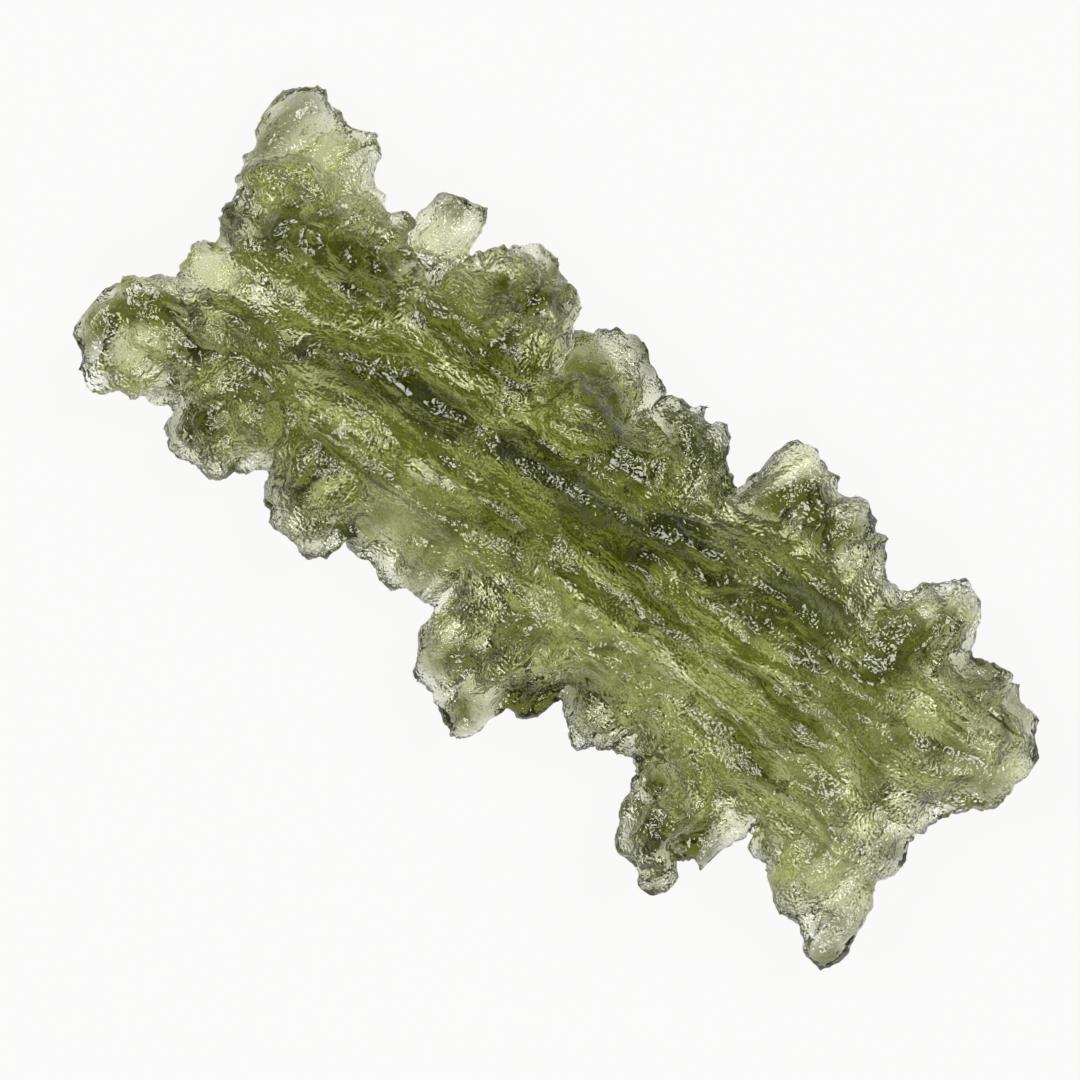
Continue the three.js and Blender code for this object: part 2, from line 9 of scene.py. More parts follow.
import bmesh
import bpy
import numpy as np
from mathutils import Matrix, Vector


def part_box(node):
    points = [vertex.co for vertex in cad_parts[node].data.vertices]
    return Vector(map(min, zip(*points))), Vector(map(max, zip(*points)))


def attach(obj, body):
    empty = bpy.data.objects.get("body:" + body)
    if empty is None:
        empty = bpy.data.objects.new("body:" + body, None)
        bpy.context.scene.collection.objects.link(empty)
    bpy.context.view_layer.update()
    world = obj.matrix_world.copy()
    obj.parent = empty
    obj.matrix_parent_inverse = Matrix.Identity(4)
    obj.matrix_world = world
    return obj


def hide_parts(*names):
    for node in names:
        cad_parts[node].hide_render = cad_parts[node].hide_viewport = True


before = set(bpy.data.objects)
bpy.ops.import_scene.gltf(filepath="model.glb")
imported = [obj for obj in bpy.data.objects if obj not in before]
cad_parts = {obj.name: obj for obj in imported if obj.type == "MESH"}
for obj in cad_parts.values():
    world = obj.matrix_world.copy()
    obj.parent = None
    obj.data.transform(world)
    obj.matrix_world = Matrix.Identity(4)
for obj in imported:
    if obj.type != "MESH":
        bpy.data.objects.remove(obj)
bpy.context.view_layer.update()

MM = 0.001
LOG = logging.getLogger("stone")

NODE_STEP = (180, -260)  # from one node to the next in a graph's editor, and from row to row
NODES_A_ROW = 24
MERGE_REACH = 0.002  # corners of the solid this close, in mm, are one
DISH_REACH = 0.65  # from a dish's middle to its crest, as a share of its size
FLOW_MIDDLE = 0.7  # y in mm of the line along which the body's glass flowed
FLOW_TURN = (3.0, 5.2)  # from how far beside it, in mm, the flow turns outwards, and where it has turned
SEED_SHIFT = (17.0, 5.0)  # how far along x and y, in mm, one seed's pattern lies from the next
LEVEL_FROM = 0.8  # z of the normal from which glass counts as level
FACING = (0.05, 0.4)  # z of the normal where the marks of a side begin, and where they are whole
BESIDE_RIM = 0.3  # mm outside an edge where nothing may lie, if the edge is part of the outline
ABOVE_ALL = 20.0  # mm above any edge of the stone
ABSORPTION_ROOM = 1.02  # the glass's density over its highest rate, which keeps each channel above 0
FLAT = (1.0, 1.0, 0.0)  # lays a place or a direction flat, when they are multiplied
RIM_PARTS = ("Start", "Slope", "Bend")  # the inputs that shape a side beside the outline

Link = bpy.types.NodeSocket
Number = float | Link
Triple = tuple[float, float, float] | Link


class Side(Enum):
    """A side of the stone, with the sign of the Z direction that it faces."""

    UPPER = 1.0
    LOWER = -1.0


class Crest(Enum):
    """How round a trail is across, with the power by which it fades beside its path."""

    SHARP = 1.5
    ROUND = 2.0
    BROAD = 2.5


class Graph:
    """Adds nodes to one node tree and links them, so that a graph reads like a formula."""

    def __init__(self, tree: bpy.types.NodeTree) -> None:
        """Keeps the tree that the nodes go into.

        Args:
            tree: A geometry, shader or world node tree.
        """
        self.tree = tree
        self.count = 0

    def put(self, socket: Link, value: object) -> None:
        """Links a socket to an output, or sets it to a plain value.

        Args:
            socket: The input socket.
            value: Another node's output, or a value that suits the socket.
        """
        if isinstance(value, bpy.types.NodeSocket):
            self.tree.links.new(value, socket)
        elif value is not None:
            socket.default_value = value

    def node(self, kind: str, *values: object, settings: dict | None = None,
             **named: object) -> bpy.types.Node:
        """Adds a node.

        Args:
            kind: The node's class name in Blender.
            values: Values or outputs for its first inputs, where None leaves one as it is.
            settings: The node's own properties.
            named: Values or outputs for inputs by name, with _ for a space.

        Returns:
            The new node.
        """
        node = self.tree.nodes.new(kind)
        row, column = divmod(self.count, NODES_A_ROW)
        node.location = (NODE_STEP[0] * column, NODE_STEP[1] * row)
        self.count += 1
        for name, value in (settings or {}).items():
            setattr(node, name, value)
        for socket, value in zip(node.inputs, values):
            self.put(socket, value)
        for name, value in named.items():
            self.put(node.inputs[name.replace("_", " ")], value)
        return node

    def math(self, operation: str, *values: Number) -> Link:
        """Adds a Math node and returns its output."""
        return self.node("ShaderNodeMath", *values, settings={"operation": operation}).outputs[0]

    def vector(self, operation: str, *values: Triple) -> Link:
        """Adds a Vector Math node and returns its vector output."""
        return self.node("ShaderNodeVectorMath", *values, settings={"operation": operation}).outputs[0]

    def scaled(self, vector: Triple, factor: Number) -> Link:
        """Adds the nodes that multiply a vector by a number.

        Args:
            vector: The vector.
            factor: The number.

        Returns:
            Their product.
        """
        node = self.node("ShaderNodeVectorMath", vector, settings={"operation": "SCALE"})
        self.put(node.inputs["Scale"], factor)
        return node.outputs[0]

    def length(self, vector: Link) -> Link:
        """Returns a vector's length."""
        return self.node("ShaderNodeVectorMath", vector,
                         settings={"operation": "LENGTH"}).outputs["Value"]

    def stored(self, kind: str, name: str) -> Link:
        """Returns an attribute that the geometry carries, by its data type and name."""
        return self.node("GeometryNodeInputNamedAttribute", name, settings={"data_type": kind}).outputs[0]

    def sample(self, kind: str, geometry: Link, value: Link, index: Link) -> Link:
        """Reads a value at one point of a geometry.

        Args:
            kind: The value's data type.
            geometry: The geometry that it is read from.
            value: The value as a field on that geometry.
            index: The point's index.

        Returns:
            The value there.
        """
        node = self.node("GeometryNodeSampleIndex", geometry, settings={"data_type": kind})
        self.put(node.inputs["Value"], value)
        self.put(node.inputs["Index"], index)
        return node.outputs[0]

    def ramp(self, value: Number, low: Number, high: Number, start: Number = 0.0,
             end: Number = 1.0) -> Link:
        """Maps a value smoothly from one range to another, and holds it at the ends.

        Args:
            value: What is mapped.
            low: The value that gives start.
            high: The value that gives end.
            start: The result at and below low.
            end: The result at and above high.

        Returns:
            The mapped value.
        """
        node = self.node("ShaderNodeMapRange", value, low, high, start, end,
                         settings={"interpolation_type": "SMOOTHSTEP"})
        return node.outputs[0]

    def mix(self, factor: Number, first: Number, second: Number) -> Link:
        """Returns first where factor is 0 and second where it is 1."""
        return self.node("ShaderNodeMix", Factor=factor, A=first, B=second).outputs[0]

    def noise(self, place: Link, size: Number, detail: float = 2.0, roughness: float = 0.5,
              warp: float = 0.0) -> Link:
        """Adds a noise of lumps of one size.

        Args:
            place: The position in mm.
            size: The size of the lumps in mm.
            detail: How many finer noises are added.
            roughness: How strong the finer ones are.
            warp: How much the noise bends itself.

        Returns:
            The noise, from -1 to 1.
        """
        scale = self.math("DIVIDE", 1.0, size)
        node = self.node("ShaderNodeTexNoise", Vector=place, Scale=scale, Detail=detail,
                         Roughness=roughness, Distortion=warp)
        return self.math("MULTIPLY_ADD", node.outputs[0], 2.0, -1.0)

    def dishes(self, place: Link, size: Number) -> Link:
        """Adds a pattern of shallow dishes that meet in sharp crests.

        Args:
            place: The position in mm.
            size: The size of a dish in mm.

        Returns:
            A height from -1 at the middle of a dish to 0 on a crest.
        """
        scale = self.math("DIVIDE", 1.0, size)
        node = self.node("ShaderNodeTexVoronoi", Vector=place, Scale=scale)
        across = self.math("MINIMUM", self.math("DIVIDE", node.outputs[0], DISH_REACH), 1.0)
        return self.math("SUBTRACT", self.math("POWER", across, 2.0), 1.0)

    def folds(self, place: Link, size: Number) -> Link:
        """Adds a pattern of small twisted folds of one size in mm, from -1 to 1."""
        return self.noise(place, size, detail=2.0, roughness=0.5, warp=0.4)


Sockets = bpy.types.bpy_prop_collection
Pattern = Callable[[Graph, Link, Number], Link]
Mark = tuple[Pattern, str, str, float]


def stretched(graph: Graph, place: Link, stretch: Number, outwards: Link, size: Number,
              pattern: Pattern) -> Link:
    """Lays a pattern along the glass's flow: lengthwise on the body and outwards on the blades.

    Args:
        graph: Where the nodes go.
        place: The position in mm.
        stretch: How many times longer than wide the pattern is.
        outwards: 0 on the body, 1 on the blades.
        size: The pattern's size in mm.
        pattern: Makes the pattern's nodes from a position and a size.

    Returns:
        The pattern's value.
    """
    squeeze = graph.math("DIVIDE", 1.0, stretch)
    along = graph.node("ShaderNodeCombineXYZ", squeeze, 1.0, 1.0).outputs[0]
    across = graph.node("ShaderNodeCombineXYZ", 1.0, squeeze, 1.0).outputs[0]
    return graph.mix(outwards, pattern(graph, graph.vector("MULTIPLY", place, along), size),
                     pattern(graph, graph.vector("MULTIPLY", place, across), size))


def flow_mask(graph: Graph, place: Link) -> Link:
    """Tells the blades beside the body from the body itself.

    Args:
        graph: Where the nodes go.
        place: The position in mm.

    Returns:
        0 on the body, 1 on the blades.
    """
    y = graph.node("ShaderNodeSeparateXYZ", place).outputs[1]
    aside = graph.math("ABSOLUTE", graph.math("SUBTRACT", y, FLOW_MIDDLE))
    return graph.ramp(aside, *FLOW_TURN)


@dataclass(frozen=True)
class Trail:
    """Something that follows a path over the stone seen from above, and fades out beside it.

    Attributes:
        width: How far to each side it reaches, in mm.
        amount: How much of it there is along the path.
        path: Points (x, y) in mm.
    """

    width: float
    amount: float
    path: tuple[tuple[float, float], ...]

    def at(self, places: np.ndarray, crest: Crest) -> np.ndarray:
        """Works out how much of it there is at each place.

        Args:
            places: One row (x, y) in mm for each place.
            crest: How round it is across.

        Returns:
            The amount at each place.
        """
        nearest = np.full(len(places), np.inf)
        for start, end in zip(self.path, self.path[1:]):
            line = np.subtract(end, start)
            along = np.clip((places - start) @ line / (line @ line), 0.0, 1.0)
            offset = places - start - along[:, None] * line
            nearest = np.minimum(nearest, np.hypot(offset[:, 0], offset[:, 1]))
        return self.amount * np.exp(-((nearest / self.width) ** crest.value))


def summed(trails: tuple[Trail, ...], places: np.ndarray, crest: Crest) -> np.ndarray:
    """Returns the sum of some trails at each place, as Trail.at does."""
    return sum(trail.at(places, crest) for trail in trails)


# Ridges on the upper side, with their height in mm, and furrows, whose height is below 0.
RIBS = (
    # the long ridges of the left half
    Trail(0.5, 0.5, ((-17.6, -0.4), (-15.5, 0.2), (-13.5, 0.9), (-11.5, 1.5), (-9.5, 1.9), (-7.5, 2.3),
                     (-5.0, 2.6), (-3.0, 3.3), (-1.0, 3.7), (1.0, 4.6))),
    Trail(0.25, 0.3, ((-15.5, 1.9), (-13.8, 2.1), (-12.0, 1.8))),
    Trail(0.3, 0.4, ((-11.0, 2.6), (-9.0, 2.9), (-6.5, 2.6))),
    Trail(0.2, -0.35, ((-14.0, 0.3), (-12.0, 1.0), (-10.0, 1.3))),
    Trail(0.35, -0.5, ((-13.0, 3.4), (-10.5, 3.5), (-7.0, 3.4), (-4.5, 3.7), (-2.8, 3.6))),
    Trail(0.6, -0.6, ((-12.5, -0.5), (-10.3, 0.1), (-7.5, 0.7), (-6.3, 1.1))),
    Trail(0.35, 0.5, ((-12.3, -1.0), (-10.0, -0.8), (-7.5, -0.6), (-5.5, -0.4), (-3.8, 0.6),
                      (-2.0, 0.8), (0.0, 0.3))),
    Trail(0.4, 0.5, ((-12.0, -1.8), (-9.5, -1.5), (-7.0, -1.3), (-5.0, -1.3), (-3.5, -1.1))),
    Trail(0.12, -0.3, ((-10.5, -2.1), (-8.5, -1.9), (-6.0, -1.6), (-4.3, -1.3))),
    Trail(0.3, 0.35, ((-10.3, -2.4), (-8.5, -2.3), (-6.8, -2.0))),
    Trail(0.3, -0.4, ((-10.0, -2.8), (-8.2, -2.7))),
    Trail(0.35, -0.4, ((-5.2, 0.9), (-4.8, 0.8))),
    # the long ridges of the right half
    Trail(0.2, 0.35, ((4.5, 0.7), (7.0, 0.85), (9.5, 0.9), (12.0, 0.7), (13.3, 0.4))),
    Trail(0.35, -0.45, ((0.0, 0.8), (3.5, 0.7), (8.0, 0.1), (12.7, 0.05))),
    Trail(0.2, 0.35, ((6.0, 1.3), (8.3, 1.2), (10.0, 1.5), (11.5, 2.1), (13.3, 2.4), (15.2, 3.0))),
    Trail(0.25, 0.4, ((13.5, 3.1), (15.5, 3.4), (18.3, 3.5))),
    Trail(0.2, 0.3, ((14.8, 4.6), (16.5, 4.5), (18.5, 4.2))),
    Trail(0.3, -0.4, ((9.0, 2.7), (11.0, 2.6), (13.0, 2.9), (14.5, 3.2))),
    Trail(0.35, 0.4, ((0.0, -0.2), (2.5, -0.4), (5.0, -0.7), (7.3, -0.6), (9.0, -0.45), (11.0, -0.4))),
    Trail(0.12, -0.45, ((0.0, -1.25), (2.0, -1.2), (4.5, -1.05), (7.0, -0.9))),
    Trail(0.28, 0.45, ((1.8, -1.6), (3.5, -1.4), (5.5, -1.3), (7.5, -0.95), (9.5, -0.9))),
    Trail(0.15, -0.3, ((2.5, -2.0), (5.0, -1.9), (7.0, -2.0), (8.8, -2.5))),
    Trail(0.3, 0.35, ((12.7, 0.4), (13.8, -0.2), (15.0, -0.9), (16.3, -1.5))),
    Trail(0.15, -0.35, ((14.8, -0.6), (16.0, -0.6), (17.0, -0.8))),
    # the ribbed blade at the lower right
    Trail(0.2, -0.4, ((12.5, -2.7), (14.0, -2.3), (15.3, -2.7))),
    Trail(0.2, 0.3, ((12.5, -2.9), (14.3, -2.8), (16.0, -3.1))),
    Trail(0.13, -0.4, ((15.4, -3.2), (15.3, -4.0), (15.5, -4.8))),
    Trail(0.3, -0.3, ((11.5, -3.4), (13.0, -3.9), (14.0, -4.2))),
    # the folds between the body and the lower blades
    Trail(0.2, 0.35, ((3.3, -2.1), (2.0, -2.8), (1.0, -3.7))),
    Trail(0.2, -0.3, ((4.0, -2.2), (2.8, -2.9), (1.8, -3.8))),
    Trail(0.22, 0.35, ((4.8, -2.2), (3.6, -3.0), (2.6, -4.0))),
    Trail(0.2, -0.35, ((5.5, -2.2), (5.1, -3.0), (5.3, -3.9))),
    Trail(0.25, 0.35, ((6.3, -2.2), (6.0, -3.2), (6.4, -4.3))),
    Trail(0.15, -0.3, ((6.4, -2.2), (7.0, -2.9), (7.0, -3.8))),
    # the long tail
    Trail(0.35, 0.4, ((7.0, -2.4), (8.5, -3.0), (9.7, -3.9), (10.9, -5.0))),
    Trail(0.3, 0.4, ((7.2, -4.3), (8.2, -5.3), (8.8, -6.6))),
    Trail(0.25, -0.4, ((10.0, -3.2), (11.0, -4.5), (11.4, -6.5))),
    Trail(0.3, 0.4, ((9.5, -5.0), (10.3, -6.2), (10.6, -7.4))),
    # the lower blades, from right to left
    Trail(0.3, 0.4, ((-1.0, -2.9), (0.2, -2.9), (1.5, -2.5))),
    Trail(0.3, 0.35, ((-1.6, -3.4), (-1.5, -5.0), (-1.0, -6.5))),
    Trail(0.3, -0.35, ((0.0, -3.6), (0.3, -5.0), (0.3, -6.3))),
    Trail(0.3, 0.35, ((1.3, -4.0), (1.4, -5.4), (1.5, -6.6))),
    Trail(0.25, -0.35, ((2.0, -4.6), (2.4, -5.8))),
    Trail(0.2, -0.4, ((0.1, -7.0), (0.9, -7.3), (1.6, -7.9))),
    Trail(0.15, 0.3, ((-5.6, -3.6), (-5.0, -4.3), (-4.5, -5.2))),
    Trail(0.15, 0.3, ((-4.3, -3.5), (-4.2, -4.6), (-4.1, -5.4))),
    Trail(0.15, 0.3, ((-3.5, -3.0), (-3.5, -4.0), (-3.4, -4.8))),
    Trail(0.15, 0.3, ((-2.7, -3.2), (-2.6, -4.2), (-2.6, -4.9))),
    Trail(0.3, 0.35, ((-9.6, -3.1), (-9.8, -4.3), (-9.4, -5.4))),
    Trail(0.3, 0.35, ((-7.8, -3.4), (-8.2, -4.5), (-8.3, -5.6))),
    Trail(0.3, -0.4, ((-8.9, -3.6), (-9.0, -4.8), (-8.8, -5.8))),
    Trail(0.3, -0.35, ((-7.0, -3.8), (-7.2, -4.8), (-7.0, -5.6))),
    Trail(0.3, 0.45, ((-14.4, -3.8), (-14.6, -4.8), (-14.2, -5.9), (-13.3, -6.4))),
    Trail(0.3, -0.4, ((-13.7, -3.9), (-13.6, -5.2))),
    Trail(0.3, 0.35, ((-12.6, -3.0), (-12.7, -4.2), (-12.3, -5.4))),
    Trail(0.3, 0.45, ((-13.5, -1.4), (-15.5, -1.0), (-17.5, -1.5), (-18.9, -2.4), (-19.6, -3.8),
                      (-19.6, -5.2))),
    Trail(0.35, -0.4, ((-14.5, -2.4), (-16.5, -2.6), (-18.0, -3.2), (-18.9, -4.2))),
    Trail(0.2, 0.35, ((-14.6, -3.5), (-16.0, -3.8), (-17.5, -4.0))),
    Trail(0.2, -0.4, ((-15.2, -4.3), (-16.8, -4.3))),
    Trail(0.2, -0.3, ((-18.6, -5.0), (-17.5, -5.1), (-16.8, -5.5))),
    # the upper blades, from left to right
    Trail(0.3, 0.4, ((-18.0, 3.8), (-17.2, 4.7), (-16.2, 5.1), (-15.0, 4.8))),
    Trail(0.3, 0.5, ((-14.3, 5.0), (-13.2, 5.1), (-11.9, 5.1))),
    Trail(0.3, -0.4, ((-15.0, 4.4), (-15.2, 3.2))),
    Trail(0.25, -0.35, ((-12.6, 3.7), (-12.7, 4.6))),
    Trail(0.3, 0.4, ((-9.3, 5.2), (-9.2, 6.4), (-8.2, 7.3), (-7.2, 8.0))),
    Trail(0.3, 0.35, ((-5.6, 4.8), (-5.6, 6.3), (-6.2, 7.6))),
    Trail(0.35, -0.35, ((-8.2, 5.0), (-7.9, 6.3))),
    Trail(0.3, 0.3, ((-7.1, 4.6), (-7.0, 6.2), (-6.9, 7.4))),
    Trail(0.25, 0.4, ((-3.5, 5.6), (-2.9, 6.3), (-1.8, 6.4), (-1.0, 5.8))),
    Trail(0.15, 0.4, ((-3.6, 5.3), (-2.9, 4.7))),
    Trail(0.25, -0.4, ((-3.0, 5.3), (-1.8, 5.4), (-1.0, 4.8))),
    Trail(0.25, 0.4, ((0.0, 5.6), (1.4, 5.0), (1.6, 4.0))),
    Trail(0.25, -0.35, ((0.5, 4.6), (1.2, 5.6))),
    Trail(0.25, 0.35, ((2.2, 6.6), (3.0, 5.6), (3.6, 5.1))),
    Trail(0.3, 0.4, ((3.6, 4.6), (5.0, 4.6), (7.5, 4.5), (9.7, 4.8))),
    Trail(0.25, 0.4, ((5.0, 5.6), (5.1, 7.0), (5.6, 8.2))),
    Trail(0.25, -0.35, ((6.2, 5.6), (6.2, 7.4))),
    Trail(0.25, 0.35, ((7.4, 5.3), (7.5, 6.6), (8.3, 7.9))),
    Trail(0.25, -0.35, ((8.7, 5.4), (8.7, 7.0))),
    Trail(0.25, 0.35, ((9.6, 5.6), (9.8, 7.0), (10.0, 7.9))),
    Trail(0.3, 0.4, ((11.6, 5.2), (12.6, 6.2), (13.3, 7.4))),
    Trail(0.3, -0.4, ((13.3, 4.8), (13.6, 6.2))),
    Trail(0.3, 0.4, ((14.3, 4.8), (14.5, 6.2), (14.3, 7.4))),
    Trail(0.3, 0.35, ((16.0, 5.6), (17.6, 5.4), (19.0, 4.7))),
    Trail(0.3, -0.35, ((16.5, 5.0), (18.6, 4.6))),
    Trail(0.3, 0.35, ((17.6, 2.6), (18.8, 3.0), (19.4, 3.8))),
)

# Hollows in the underside, with their depth in mm, which make the glass above them thinner and paler.
HOLLOWS = (
    Trail(1.1, 2.0, ((-15.0, 0.2), (-13.5, 0.2), (-12.0, 0.6))),
    Trail(1.2, 1.8, ((-10.4, 1.9), (-8.3, 2.3), (-5.6, 2.5))),
    Trail(1.0, 1.3, ((-4.6, -0.1), (-2.4, 0.5))),
    Trail(1.1, 1.3, ((-1.5, -3.0), (-1.1, -4.0))),
    Trail(1.0, 1.1, ((9.9, -3.7), (10.8, -3.9))),
    Trail(0.9, 0.7, ((-7.4, -0.8), (-7.4, -1.5))),
    Trail(0.9, 0.9, ((3.6, 1.3), (6.4, 1.1))),
    Trail(0.8, 0.7, ((2.8, -1.5), (3.8, -1.4))),
)

